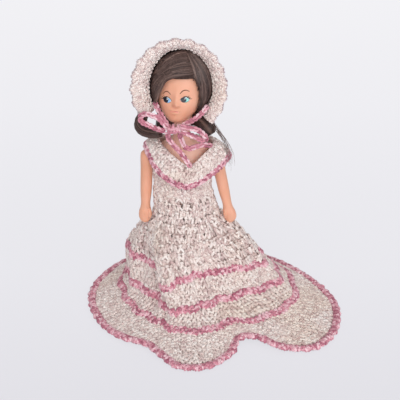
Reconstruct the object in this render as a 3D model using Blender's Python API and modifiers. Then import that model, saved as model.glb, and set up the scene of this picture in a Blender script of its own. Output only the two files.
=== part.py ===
"""A small vinyl doll with rooted hair, in a crocheted dress and bonnet.

All sizes are in millimetres and become metres when a mesh or a curve is made.
The plan is drawn with the doll facing -Y and her feet near x = 0, y = 0. One
empty then moves the whole doll so that the middle of her box stands on the
world's origin. Each moving piece hangs from an empty on its joint.
"""
from math import atan2, cos, exp, hypot, pi, radians, sin, sqrt

import bmesh
import bpy
from mathutils import Matrix, Vector

MM = 0.001
WELD = 0.00001

# Where the plan stands in the world, and where the doll stands on the plan.
BOX_MIDDLE_X = 15.5
BOX_MIDDLE_Y = -17.1
AXIS_X = -2.3

# Fits between pieces.
SEAM_GAP = 0.3
SOCKET_GAP = 0.35
CLOTH_GAP = 1.0

# Torso and neck. Each height is a rise from the one below it.
HIP_HEIGHT = 57.0
PELVIS_BOTTOM = HIP_HEIGHT + 3.8
WAIST_HEIGHT = HIP_HEIGHT + 13.0
SHOULDER_HEIGHT = WAIST_HEIGHT + 20.5
NECK_BASE = SHOULDER_HEIGHT + 11.0
NECK_TOP = NECK_BASE + 11.0
CHEST_HALF_WIDTH = 14.6
WAIST_HALF_WIDTH = 12.4
HIP_HALF_WIDTH = 13.4
NECK_RADIUS = 4.8
KNOB_RADIUS = 5.9
KNOB_HEIGHT = 4.6

# Head.
HEAD_CENTRE_HEIGHT = NECK_TOP + 20.5
HEAD_CENTRE_BACK = 1.0
HEAD_HALF_WIDTH = 15.0
HEAD_HALF_DEPTH = 15.6
HEAD_HALF_HEIGHT = 19.0
FACE_TURN = -9.0
JAW_FULLNESS = 0.5
JAW_REACH = 4.6
JAW_SHIFT = 1.5
HAIR_THICKNESS = 1.3
HAIR_LIFT = 1.1
FRINGE_LIFT = 0.35
FRINGE_TURN = 34.0
FRINGE_FALL = 26.0
FRINGE_DOWN = 67.0
NAPE_DOWN = 124.0

# Arms and legs.
ARM_OFFSET = 20.9
ARM_RADIUS = 3.7
SHOULDER_PEG_RADIUS = 2.2
SHOULDER_PEG_DEPTH = 5.0
HAND_DROP = 40.6
ARM_LEAN_LEFT = 1.7
ARM_LEAN_RIGHT = 7.6
THUMB_HALF_SIZES = (1.3, 1.4, 3.4)
LEG_OFFSET = 7.5
HIP_BALL_RADIUS = 6.2
HIP_ROD_RADIUS = 1.3
FOOT_LENGTH = 17.0
SOLE_HEIGHT = 1.3
CROTCH_THICKNESS = 1.8

# Crocheted clothes.
CLOTH_THICKNESS = 1.7
YARN_ROW_RADIUS = 1.75
BAND_HALF_WIDTH = 1.9
BAND_THICKNESS = 1.1
STITCH_LENGTH = 4.2
SHELL_LENGTH = 11.5
GATHER_COUNT = 16
GATHER_DEPTH = 0.55
RIB_STEPS = 3
TIE_RADIUS = 1.6

# Bonnet.
BONNET_TILT = 5.0
BONNET_START = -45.0
BONNET_SWEEP = 260.0
BRIM_HALF_WIDTH = 26.2
BRIM_HALF_HEIGHT = 26.4
BRIM_SHIFT = -1.2
BRIM_WAVE = 0.5
BRIM_WAVES = 15

# Each rib is a line down the skirt from the waist to the floor, going round
# from the right by the front. It gives the cloth's place in plan at the three
# pink stripes and at the outer edge of the hem, then its height at the top
# stripe and how far the hem there is lifted off the floor.
SKIRT_RIBS = (
    ((46, -1), (57, -3), (67, -8), (88, -6), 23.0, 0.0),
    ((46, -9), (55, -13), (64, -24), (92, -26), 23.0, 0.0),
    ((39, -14), (46, -20), (58, -33), (87, -50), 24.5, 0.0),
    ((30, -19), (36, -26), (49, -41), (73, -67), 25.5, 0.0),
    ((21, -22), (27, -31), (39, -46), (54, -68), 26.0, 0.6),
    ((15, -24), (20, -34), (29, -47), (40, -60), 26.0, 2.0),
    ((11, -26), (15, -38), (21, -51), (31, -60), 26.5, 1.2),
    ((6, -28), (9, -41), (14, -56), (26, -73), 26.5, 0.2),
    ((1, -31), (4, -44), (6, -57), (12, -85), 26.5, 0.0),
    ((-5, -34), (-2, -46), (-3, -57), (-4, -85), 25.0, 0.0),
    ((-11, -37), (-7, -46), (-9, -54), (-14, -75), 23.0, 0.4),
    ((-15.5, -34), (-11, -42), (-15, -49), (-23, -65), 22.5, 1.0),
    ((-12, -27), (-14, -36), (-20, -44), (-35, -59), 24.0, 0.6),
    ((-14, -19.5), (-18.5, -29), (-26, -39), (-46, -49), 26.5, 0.0),
    ((-24, -13), (-27, -22), (-32, -31), (-54, -36), 28.0, 0.0),
    ((-33, -4), (-33, -12), (-37, -20), (-60, -18), 28.0, 0.0),
    ((-36, 7), (-36, 0), (-41, -5), (-60, 1), 28.0, 0.0),
    ((-32, 18), (-35, 13), (-40, 12), (-52, 22), 28.0, 0.0),
    ((-22, 26), (-26, 25), (-31, 27), (-38, 39), 28.0, 0.0),
    ((-8, 29), (-12, 32), (-15, 37), (-18, 49), 28.0, 0.0),
    ((7, 29), (4, 34), (4, 39), (6, 52), 28.0, 0.0),
    ((21, 26), (22, 31), (26, 37), (32, 50), 27.0, 0.0),
    ((34, 19), (39, 24), (48, 29), (56, 38), 26.0, 0.0),
    ((43, 9), (52, 11), (62, 13), (74, 19), 24.0, 0.0),
)
STRIPE_HEIGHTS = (26.0, 13.0, 5.6)
UPPER_RING = (18.6, 16.2, 54.0)
UPPER_SHIFT = 2.2
THIGH_HEIGHT = 43.0
THIGH_SPREAD = 0.46
WAIST_RING = (15.9, 11.8)
HEM_GAP = 0.6
HEM_HEIGHT = 1.45
FLOOR_PRESS = 0.35

# The collar's neck edge and outer edge, from the front round by the right,
# about the doll's axis and the shoulder height.
COLLAR_NECK_EDGE = (
    (4.0, -13.4, -1.0), (12.4, -11.2, 5.0), (18.0, -3.0, 9.4), (13.0, 7.6, 9.7),
    (0.0, 10.4, 7.5), (-12.0, 7.6, 9.7), (-13.6, -3.0, 10.7), (-6.0, -12.4, 5.5),
)
COLLAR_OUTER_EDGE = (
    (2.4, -16.4, -11.0), (16.0, -13.2, -5.2), (26.5, -2.0, 2.8), (19.0, 10.6, 0.5),
    (0.0, 14.0, -6.5), (-17.0, 10.6, 1.0), (-20.4, -1.5, 8.0), (-12.2, -13.8, -3.4),
)
COLLAR_BULGE = 1.1
COLLAR_CENTRE_DROP = 6.5

# Ribbon routes about the doll's axis and the head's centre height: crocheted
# chains tied in a bow under the chin.
TIE_RIGHT_ROUTE = (
    (14.1, -8.0, -9.8), (11.4, -11.5, -12.1), (6.8, -14.6, -15.0), (0.0, -15.0, -18.6),
)
TIE_LEFT_ROUTE = (
    (-14.6, -7.6, -7.8), (-12.9, -12.2, -10.2), (-10.4, -14.2, -13.9), (-7.8, -14.9, -18.2),
)
LOOP_LEFT_ROUTE = (
    (-8.3, -18.6, -17.3), (-11.7, -18.8, -13.4), (-15.8, -18.6, -11.1), (-19.7, -17.8, -10.5),
    (-22.3, -17.2, -12.2), (-21.8, -17.2, -15.1), (-17.9, -18.0, -17.1), (-13.5, -18.2, -19.1),
    (-9.1, -18.2, -20.3),
)
LOOP_RIGHT_ROUTE = (
    (0.4, -18.8, -17.4), (3.9, -18.4, -18.5), (8.1, -17.6, -19.6), (11.7, -16.6, -22.4),
    (13.7, -15.6, -25.7), (11.2, -15.2, -26.6), (6.9, -16.0, -24.3), (3.3, -17.0, -22.4),
    (0.3, -17.6, -20.9),
)
TAIL_LONG_ROUTE = (
    (-7.7, -17.4, -22.4), (-7.3, -16.6, -25.4), (-5.1, -16.2, -28.6),
    (-2.1, -16.2, -32.2), (0.8, -16.8, -35.7), (3.9, -18.0, -40.1),
)
TAIL_SHORT_ROUTE = (
    (-1.0, -16.4, -23.1), (-0.1, -14.8, -26.9), (1.3, -13.4, -30.9), (3.8, -13.2, -32.7),
    (7.5, -13.2, -31.8), (10.9, -13.0, -30.7), (14.9, -12.4, -31.0),
)
KNOT_CENTRE = (-4.2, -17.8, -19.3)
KNOT_HALF_SIZES = (3.9, 2.4, 2.5)

# Routes of the hair locks, about the head's centre height.
LOCK_LEFT_ROUTE = (
    (-20.6, 4.0, -13.0), (-25.6, -0.6, -19.4), (-25.0, -6.0, -23.2),
    (-19.8, -10.0, -24.6), (-13.4, -11.2, -24.4),
)
LOCK_RIGHT_ROUTE = (
    (6.8, 3.0, -16.2), (8.0, 0.8, -19.2), (11.4, -2.2, -22.8), (14.4, -4.6, -27.2),
)
LOCK_GROWTH = {"left": 1.2, "right": 1.9}
LOCK_WIDTHS = {"left": 3.6, "right": 4.9}

SKIN = (0.83, 0.42, 0.27, 1)
HAIR = (0.055, 0.027, 0.022, 1)
CREAM = (0.75, 0.64, 0.58, 1)
PINK = (0.60, 0.19, 0.25, 1)
WHITE = (0.75, 0.72, 0.68, 1)


def material(name, colour, roughness):
    """Make a Principled BSDF material of one colour."""
    made = bpy.data.materials.new(name)
    made.use_nodes = True
    shader = made.node_tree.nodes["Principled BSDF"]
    shader.inputs["Base Color"].default_value = colour
    shader.inputs["Roughness"].default_value = roughness
    shader.inputs["Metallic"].default_value = 0.0
    return made


def catmull(a, b, c, d, t):
    """Read the smooth curve that passes b and c at the share t of the way."""
    square = 2 * a - 5 * b + 4 * c - d
    cube = 3 * b - a - 3 * c + d
    return 0.5 * (2 * b + (c - a) * t + square * t ** 2 + cube * t ** 3)


def closed_curve(points, steps):
    """Read a smooth closed curve through the points, steps times between each."""
    points = [Vector(p) for p in points]
    count = len(points)
    return [
        catmull(points[i - 1], points[i], points[(i + 1) % count], points[(i + 2) % count], k / steps)
        for i in range(count)
        for k in range(steps)
    ]


def open_curve(points, steps):
    """Read a smooth open curve through the points, steps times between each."""
    points = [Vector(p) for p in points]
    ends = [2 * points[0] - points[1]] + points + [2 * points[-1] - points[-2]]
    read = [
        catmull(*ends[i:i + 4], k / steps)
        for i in range(len(points) - 1)
        for k in range(steps)
    ]
    return read + [points[-1]]


def evenly(points, spacing, closed=False):
    """Walk along a run of points and give new ones about one spacing apart."""
    run = points + [points[0]] if closed else points
    lengths = [(b - a).length for a, b in zip(run, run[1:])]
    total = sum(lengths)
    count = max(3, round(total / spacing))
    given = []
    for k in range(count + (0 if closed else 1)):
        left = total * k / count
        at = 0
        while at < len(lengths) - 1 and left > lengths[at]:
            left -= lengths[at]
            at += 1
        given.append(run[at].lerp(run[at + 1], min(1.0, left / max(lengths[at], 1e-9))))
    return given


def quad(row, place, count):
    """Give the corners of the face below and after one point, in rows of count points."""
    after = (place + 1) % count
    return (row * count + place, row * count + after, (row + 1) * count + after, (row + 1) * count + place)


class Doll:
    """Hold the collections, the joints and the materials of the doll."""

    def __init__(self):
        for old in list(bpy.data.objects):
            bpy.data.objects.remove(old, do_unlink=True)
        self.parts = bpy.data.collections.new("crochet_dress_doll")
        self.cutters = bpy.data.collections.new("cutters")
        for made in (self.parts, self.cutters):
            bpy.context.scene.collection.children.link(made)
        self.plan = self.empty("plan", (0, 0, 0), None)
        self.plan.location = Vector((-BOX_MIDDLE_X, -BOX_MIDDLE_Y, 0)) * MM
        self.pivots = {"plan": Vector((0, 0, 0))}
        self.empties = {"plan": self.plan}
        self.joint("neck", (AXIS_X, HEAD_CENTRE_BACK, NECK_TOP))
        for side, sign in (("left", -1), ("right", 1)):
            self.joint("shoulder_" + side, (AXIS_X + sign * ARM_OFFSET, 0, SHOULDER_HEIGHT))
            self.joint("hip_" + side, (AXIS_X + sign * LEG_OFFSET, 0, HIP_HEIGHT))
        self.skin = material("vinyl_skin", SKIN, 0.45)
        self.hair = material("brown_hair", HAIR, 0.55)
        self.cream = material("cream_yarn", CREAM, 0.85)
        self.pink = material("pink_yarn", PINK, 0.8)
        self.plastic = material("white_plastic", WHITE, 0.4)

    def empty(self, name, at, parent):
        """Make an empty at a place on the plan."""
        made = bpy.data.objects.new(name, None)
        self.parts.objects.link(made)
        made.parent = parent
        made.location = Vector(at) * MM
        return made

    def joint(self, name, at):
        """Put an empty on the axis of a joint."""
        self.pivots[name] = Vector(at)
        self.empties[name] = self.empty(name, at, self.plan)

    def hang(self, made, joint, finish):
        """Hang a new object from a joint and give it its material."""
        made.parent = self.empties[joint]
        if finish is None:
            self.cutters.objects.link(made)
            made.hide_render = True
            made.display_type = "WIRE"
        else:
            self.parts.objects.link(made)
            made.data.materials.append(finish)
        return made

    def mesh(self, name, points, faces, joint, finish, smooth=True):
        """Make a mesh object from points on the plan, about its joint."""
        pivot = self.pivots[joint]
        data = bpy.data.meshes.new(name)
        data.from_pydata([(Vector(p) - pivot) * MM for p in points], [], faces)
        shell = bmesh.new()
        shell.from_mesh(data)
        bmesh.ops.remove_doubles(shell, verts=shell.verts, dist=WELD)
        shell.to_mesh(data)
        shell.free()
        if smooth:
            data.shade_smooth()
        return self.hang(bpy.data.objects.new(name, data), joint, finish)

    def loft(self, name, rings, joint, finish):
        """Join rings of equal count into one closed body with flat ends."""
        count = len(rings[0])
        points = [p for ring in rings for p in ring]
        faces = [
            quad(r, k, count)
            for r in range(len(rings) - 1)
            for k in range(count)
        ]
        faces.append(tuple(reversed(range(count))))
        faces.append(tuple(range(len(points) - count, len(points))))
        return self.mesh(name, points, faces, joint, finish)

    def cloth(self, name, rows, joint, finish, thickness, closed=True, holes=()):
        """Make cloth from rows of points on its outer side, thickened inwards."""
        count = len(rows[0])
        wraps = count if closed else count - 1
        faces = [
            quad(r, k, count)
            for r in range(len(rows) - 1)
            for k in range(wraps)
            if (r, k) not in holes
        ]
        made = self.mesh(name, [p for row in rows for p in row], faces, joint, finish)
        solid = made.modifiers.new("thickness", "SOLIDIFY")
        solid.thickness = thickness * MM
        solid.offset = -1
        return made

    def yarn(self, name, route, radius, stitch, joint, closed=False, swell=0.12, sides=6):
        """Make a row of pink crochet as a tube that swells once in each stitch."""
        pivot = self.pivots[joint]
        points = evenly(route, stitch / 2, closed)
        data = bpy.data.curves.new(name, "CURVE")
        data.dimensions = "3D"
        data.bevel_depth = radius * MM
        data.bevel_resolution = (sides - 4) // 2
        data.use_fill_caps = True
        spline = data.splines.new("POLY")
        spline.points.add(len(points) - 1)
        for k, point in enumerate(points):
            spline.points[k].co = (*((point - pivot) * MM), 1)
            spline.points[k].radius = 1 - swell * (k % 2)
        spline.use_cyclic_u = closed
        return self.hang(bpy.data.objects.new(name, data), joint, self.pink)

    def floor_row(self, name, route, radius, stitch, sides=6, swell=0.12):
        """Make a closed pink row whose underside is pressed flat on the floor."""
        points = evenly(route, stitch / 2, closed=True)
        count = len(points)
        rings = []
        for k, point in enumerate(points):
            along = points[(k + 1) % count] - points[k - 1]
            side = Vector((along.y, -along.x, 0)).normalized()
            reach = radius * (1 - swell * (k % 2))
            for j in range(sides):
                angle = 2 * pi * (j + 0.5) / sides
                corner = point + side * reach * sin(angle) + Vector((0, 0, reach * cos(angle)))
                corner.z = corner.z if corner.z > FLOOR_PRESS else 0.0
                rings.append(corner)
        faces = [
            (k * sides + j, k * sides + (j + 1) % sides,
             (k + 1) % count * sides + (j + 1) % sides, (k + 1) % count * sides + j)
            for k in range(count)
            for j in range(sides)
        ]
        return self.mesh(name, rings, faces, "plan", self.pink)

    def ball(self, name, centre, half_sizes, joint, finish, sides=16, rings=10):
        """Make an ellipsoid from a sphere primitive."""
        data = bpy.data.meshes.new(name)
        shell = bmesh.new()
        bmesh.ops.create_uvsphere(shell, u_segments=sides, v_segments=rings, radius=1)
        place = Matrix.Translation((Vector(centre) - self.pivots[joint]) * MM)
        grow = Matrix.Diagonal((*(Vector(half_sizes) * MM), 1))
        bmesh.ops.transform(shell, matrix=place @ grow, verts=shell.verts)
        shell.to_mesh(data)
        shell.free()
        data.shade_smooth()
        return self.hang(bpy.data.objects.new(name, data), joint, finish)

    def rod(self, name, middle, radius, length, joint, finish, sides=16):
        """Make a cylinder that lies along X."""
        data = bpy.data.meshes.new(name)
        shell = bmesh.new()
        bmesh.ops.create_cone(
            shell, cap_ends=True, segments=sides, radius1=radius * MM, radius2=radius * MM, depth=length * MM
        )
        place = Matrix.Translation((Vector(middle) - self.pivots[joint]) * MM)
        bmesh.ops.transform(shell, matrix=place @ Matrix.Rotation(pi / 2, 4, "Y"), verts=shell.verts)
        shell.to_mesh(data)
        shell.free()
        return self.hang(bpy.data.objects.new(name, data), joint, finish)

    def boolean(self, target, tool, operation):
        """Cut a piece with a hidden cutter, or join the cutter to it."""
        made = target.modifiers.new(tool.name, "BOOLEAN")
        made.operation = operation
        made.object = tool


def oval(x, y, z, half_width, half_depth, sides):
    """Give one level ring of points, counter-clockwise from above."""
    return [
        Vector((x + half_width * cos(2 * pi * k / sides), y + half_depth * sin(2 * pi * k / sides), z))
        for k in range(sides)
    ]


def bump(x, z, at_x, at_z, wide, high):
    """Give the height at x, z of a soft bump of height one."""
    return exp(-((x - at_x) / wide) ** 2 - ((z - at_z) / high) ** 2)


def torso_sections():
    """Give height, half width, half depth and forward shift up the torso."""
    return (
        (PELVIS_BOTTOM, HIP_HALF_WIDTH - 0.9, 8.2, 0.2),
        (PELVIS_BOTTOM + 3, HIP_HALF_WIDTH, 8.8, 0.2),
        (WAIST_HEIGHT - 3, HIP_HALF_WIDTH - 0.3, 8.4, 0.1),
        (WAIST_HEIGHT + 3, WAIST_HALF_WIDTH, 7.8, 0.0),
        (WAIST_HEIGHT + 10, WAIST_HALF_WIDTH + 0.8, 8.3, 0.3),
        (SHOULDER_HEIGHT - 3.5, CHEST_HALF_WIDTH, 9.3, 0.8),
        (SHOULDER_HEIGHT + 1, ARM_OFFSET - ARM_RADIUS - 0.7, 8.0, 0.4),
        (NECK_BASE - 5.5, CHEST_HALF_WIDTH + 1.0, 7.4, -0.2),
        (NECK_BASE - 2.5, NECK_RADIUS + 6.8, 6.4, -0.5),
        (NECK_BASE, NECK_RADIUS + 2.0, 5.6, -0.8),
        (NECK_BASE + 3, NECK_RADIUS, NECK_RADIUS, -1.0),
    )


def neck_profile(grow):
    """Give height and radius up the neck and its knob, made larger by grow."""
    knob_middle = NECK_TOP + KNOB_HEIGHT / 2
    return (
        (NECK_TOP - 3.5, NECK_RADIUS + grow),
        (NECK_TOP, NECK_RADIUS + grow),
        (knob_middle - 0.8, KNOB_RADIUS + grow),
        (knob_middle + 0.8, KNOB_RADIUS + grow),
        (NECK_TOP + KNOB_HEIGHT + grow, NECK_RADIUS - 1.2 + grow),
    )


def make_torso(doll):
    """Make the vinyl torso with its neck knob, hip sockets and crotch tongue."""
    sides = 16
    rings = [
        oval(AXIS_X, -forward, z, half_width, half_depth, sides)
        for z, half_width, half_depth, forward in torso_sections()
    ]
    rings += [oval(AXIS_X, HEAD_CENTRE_BACK, z, r, r, sides) for z, r in neck_profile(0)]
    torso = doll.loft("torso", rings, "plan", doll.skin)
    tongue = doll.rod(
        "crotch_tongue", (AXIS_X, 0, HIP_HEIGHT), HIP_BALL_RADIUS - 1.6, CROTCH_THICKNESS, "plan", None
    )
    web = doll.rod("crotch_web", (AXIS_X, 0, PELVIS_BOTTOM), 4.0, CROTCH_THICKNESS, "plan", None)
    doll.boolean(torso, tongue, "UNION")
    doll.boolean(torso, web, "UNION")
    rod_hole = doll.rod(
        "hip_rod_hole", (AXIS_X, 0, HIP_HEIGHT), HIP_ROD_RADIUS + SEAM_GAP, 3 * CROTCH_THICKNESS, "plan", None
    )
    doll.boolean(torso, rod_hole, "DIFFERENCE")
    for side, sign in (("left", -1), ("right", 1)):
        middle = (AXIS_X + sign * LEG_OFFSET, 0, HIP_HEIGHT)
        radius = HIP_BALL_RADIUS + SOCKET_GAP
        socket = doll.ball("hip_socket_" + side, middle, (radius,) * 3, "plan", None, 14, 9)
        doll.boolean(torso, socket, "DIFFERENCE")
        depth = SHOULDER_PEG_DEPTH + SOCKET_GAP
        face = AXIS_X + sign * (ARM_OFFSET - ARM_RADIUS)
        hole = doll.rod(
            "shoulder_hole_" + side, (face - sign * depth / 2, 0, SHOULDER_HEIGHT),
            SHOULDER_PEG_RADIUS + SOCKET_GAP, depth, "plan", None
        )
        doll.boolean(torso, hole, "DIFFERENCE")


# Places on the face, across and up from the head's centre.
NOSE = (-0.5, -6.4)
MOUTH = (-1.6, -11.0)
CHIN = (-1.4, -16.6)


def head_point(way):
    """Shape one direction from the head's centre into a point of the face."""
    low = max(0.0, -way.z)
    front = max(0.0, -way.y)
    reach = max(hypot(way.x, way.y), 0.001)
    ahead = front / reach
    full = reach ** -JAW_FULLNESS if low > 0 else 1.0
    x = HEAD_HALF_WIDTH * way.x * (1 + (full - 1) * ahead) * (1 - 0.2 * low ** 2) - JAW_SHIFT * low
    y = HEAD_HALF_DEPTH * way.y * (0.9 * full if way.y < 0 else 1.0 - 0.2 * low)
    z = HEAD_HALF_HEIGHT * way.z
    relief = 2.3 * bump(x, z, *NOSE, 1.7, 2.0) + 0.9 * bump(x, z, NOSE[0], NOSE[1] + 3.4, 1.5, 3.4)
    relief += 0.8 * bump(x, z, *MOUTH, 3.2, 1.5) + 1.4 * bump(x, z, *CHIN, 4.0, 2.8)
    for side in (-1, 1):
        relief += 0.9 * bump(x, z, side * 6.5 - 0.8, -8.8, 4.0, 4.5)
        relief -= 0.8 * bump(x, z, side * 5.0 - 0.8, -3.2, 3.0, 2.0)
    y -= relief * front + JAW_REACH * low ** 2 * ahead
    ear = bump(way.y * HEAD_HALF_DEPTH, z, 1.0, -5.0, 2.4, 3.4)
    x += (0.6 if x > 0 else -0.6) * ear * abs(way.x)
    return Vector((x, y, z))


def make_head(doll):
    """Make the vinyl head with its face relief and a socket for the neck."""
    head = doll.ball("head", doll.pivots["neck"], (1, 1, 1), "neck", doll.skin, 26, 17)
    centre = Vector((0, 0, HEAD_CENTRE_HEIGHT - NECK_TOP)) * MM
    for vertex in head.data.vertices:
        vertex.co = head_point(vertex.co / MM) * MM + centre
    head.rotation_euler.z = radians(FACE_TURN)
    rings = [oval(AXIS_X, HEAD_CENTRE_BACK, z, r, r, 24) for z, r in neck_profile(SOCKET_GAP)]
    socket = doll.loft("neck_socket", rings, "neck", None)
    doll.boolean(head, socket, "DIFFERENCE")


def hairline(turn):
    """Give how far down from the crown the hair reaches, in radians, at a turn from the face's middle."""
    off = abs((turn + pi) % (2 * pi) - pi)
    share = min(1.0, max(0.0, (off - radians(FRINGE_TURN)) / radians(FRINGE_FALL)))
    return radians(FRINGE_DOWN + (NAPE_DOWN - FRINGE_DOWN) * share * share * (3 - 2 * share))


def hair_point(turn, share, lift):
    """Give a point of the hair, at a turn from the face's middle and a share of the way to the hairline."""
    down = hairline(turn) * share
    way = Vector((sin(turn) * sin(down), -cos(turn) * sin(down), cos(down)))
    size = Vector((1 / HEAD_HALF_WIDTH, 1 / HEAD_HALF_DEPTH, 1 / HEAD_HALF_HEIGHT))
    out = Vector((way.x * size.x, way.y * size.y, way.z * size.z)).normalized()
    wave = 0.2 * sin(9 * turn) * share
    point = head_point(way) + out * (lift + wave + FRINGE_LIFT * share)
    point.rotate(Matrix.Rotation(radians(FACE_TURN), 3, "Z"))
    return point + Vector((AXIS_X, HEAD_CENTRE_BACK, HEAD_CENTRE_HEIGHT))


def make_hair(doll):
    """Make the rooted hair: a cap over the skull and a lock on each shoulder."""
    around = 30
    down = 5
    lift = HAIR_LIFT + HAIR_THICKNESS
    rows = [[hair_point(0, 0, lift)] * around]
    for r in range(down + 1):
        share = (r + 0.35) / (down + 0.35)
        rows.append([hair_point(-2 * pi * k / around, share, lift) for k in range(around)])
    doll.cloth("hair_cap", rows, "neck", doll.hair, HAIR_THICKNESS)
    shift = Vector((0, 0, HEAD_CENTRE_HEIGHT))
    for side, route in (("left", LOCK_LEFT_ROUTE), ("right", LOCK_RIGHT_ROUTE)):
        make_lock(doll, side, [p + shift for p in open_curve(route, 3)], LOCK_WIDTHS[side])


def make_lock(doll, side, route, widest):
    """Make one lock of hair: a grooved bundle that is thinner at both ends."""
    sides = 10
    rings = []
    for k, point in enumerate(route):
        ahead = (route[min(k + 1, len(route) - 1)] - route[max(k - 1, 0)]).normalized()
        turn = ahead.to_track_quat("Z", "Y")
        share = k / (len(route) - 1)
        radius = widest * (0.45 + 0.55 * sin(pi * share ** LOCK_GROWTH[side]) ** 0.6)
        ring = []
        for j in range(sides):
            angle = 2 * pi * j / sides
            groove = 1 + 0.1 * cos(5 * angle + 3 * share)
            ring.append(point + turn @ Vector((cos(angle), sin(angle), 0)) * radius * groove)
        rings.append(ring)
    doll.loft("hair_lock_" + side, rings, "neck", doll.hair)


def arm_sections(lean):
    """Give sideways and forward shift, drop, half width and half depth down an arm."""
    return (
        (0.0, 0.0, -3.5, 1.7, 1.8),
        (0.0, 0.0, -2.8, 2.8, 2.9),
        (0.0, 0.0, -1.4, ARM_RADIUS - 0.2, 4.0),
        (0.0, 0.1, 2.0, ARM_RADIUS, 4.2),
        (0.1 * lean, 0.3, 8.0, ARM_RADIUS - 0.1, 4.0),
        (0.3 * lean, 1.0, 15.0, 3.5, 3.7),
        (0.5 * lean, 2.0, 22.0, 3.3, 3.5),
        (0.7 * lean, 3.0, 28.0, 2.8, 3.0),
        (0.8 * lean, 3.4, 31.0, 3.0, 2.9),
        (0.9 * lean, 3.8, 34.0, 3.8, 2.9),
        (1.0 * lean, 4.1, 37.0, 3.7, 2.5),
        (1.0 * lean, 4.4, HAND_DROP - 1.2, 2.8, 2.0),
        (1.0 * lean, 4.5, HAND_DROP, 1.5, 1.2),
    )


def make_arm(doll, side, sign, lean):
    """Make an arm with its thumb and the peg that turns in the shoulder."""
    joint = "shoulder_" + side
    middle = doll.pivots[joint]
    rings = [
        oval(middle.x + sign * out, -forward, SHOULDER_HEIGHT - drop, half_width, half_depth, 10)
        for out, forward, drop, half_width, half_depth in reversed(arm_sections(lean))
    ]
    arm = doll.loft("arm_" + side, rings, joint, doll.skin)
    root = (middle.x + sign * (lean - 2.9), -5.4, SHOULDER_HEIGHT - HAND_DROP + 6.0)
    thumb = doll.ball("thumb_" + side, root, THUMB_HALF_SIZES, joint, None, 10, 8)
    doll.boolean(arm, thumb, "UNION")
    length = SHOULDER_PEG_DEPTH + ARM_RADIUS
    face = middle.x - sign * ARM_RADIUS
    peg = doll.rod(
        "shoulder_peg_" + side, (face + sign * (length / 2 - SHOULDER_PEG_DEPTH), 0, SHOULDER_HEIGHT),
        SHOULDER_PEG_RADIUS, length, joint, None
    )
    doll.boolean(arm, peg, "UNION")


def leg_sections():
    """Give forward shift, height, half width and half depth down a leg."""
    length = HIP_HEIGHT - SOLE_HEIGHT
    calf = (
        (0.2, 0.054, 5.4, 5.6), (0.2, 0.162, 5.6, 5.7), (0.1, 0.323, 5.1, 5.2), (0.3, 0.467, 4.4, 4.6),
        (0.0, 0.592, 4.3, 4.6), (-0.4, 0.718, 4.3, 4.7), (-0.1, 0.862, 3.2, 3.6),
    )
    foot = (
        (0.4, SOLE_HEIGHT + 5, 3.2, 4.3),
        (2.6, SOLE_HEIGHT + 3, 3.7, 7.2),
        (3.4, SOLE_HEIGHT + 1, 3.9, FOOT_LENGTH / 2),
        (3.4, SOLE_HEIGHT, 3.6, FOOT_LENGTH / 2 - 0.5),
    )
    return tuple((forward, HIP_HEIGHT - share * length, wide, deep) for forward, share, wide, deep in calf) + foot


def make_leg(doll, side, sign):
    """Make a leg with its hip ball, moulded foot and hole for the hip rod."""
    joint = "hip_" + side
    middle = doll.pivots[joint]
    rings = [
        oval(middle.x, -forward, z, half_width, half_depth, 10)
        for forward, z, half_width, half_depth in reversed(leg_sections())
    ]
    leg = doll.loft("leg_" + side, rings, joint, doll.skin)
    ball = doll.ball("hip_ball_" + side, middle, (HIP_BALL_RADIUS,) * 3, joint, None, 12, 8)
    doll.boolean(leg, ball, "UNION")
    length = 2.4 * HIP_BALL_RADIUS
    hole = doll.rod("hip_hole_" + side, middle, HIP_ROD_RADIUS + SEAM_GAP, length, joint, None, 12)
    doll.boolean(leg, hole, "DIFFERENCE")


def make_hip_rod(doll):
    """Make the rod that both legs turn on."""
    length = 2 * (LEG_OFFSET + HIP_BALL_RADIUS - 1.5)
    doll.rod("hip_rod", (AXIS_X, 0, HIP_HEIGHT), HIP_ROD_RADIUS, length, "plan", doll.plastic, 12)


def inwards(points, reach):
    """Move each point of a closed level outline towards its inside."""
    count = len(points)
    moved = []
    for k, point in enumerate(points):
        along = points[(k + 1) % count] - points[k - 1]
        side = Vector((along.y, -along.x, 0)).normalized()
        moved.append(point + side * reach)
    return moved


def hem_outline(reach):
    """Give the hem's outline, a reach inside the outer edge of its pink row."""
    edge = closed_curve([(*rib[3], HEM_HEIGHT + rib[5]) for rib in SKIRT_RIBS], RIB_STEPS)
    return inwards(edge, reach)


def rib_angles():
    """Give each rib's angle at the waist, part evenly spread and part as it lies on the floor."""
    total = len(SKIRT_RIBS)
    angles = []
    for number, rib in enumerate(SKIRT_RIBS):
        on_floor = -atan2(rib[3][1], rib[3][0] - AXIS_X) % (2 * pi)
        angles.append(-(on_floor + 2 * pi * number / total) / 2)
    return angles


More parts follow.
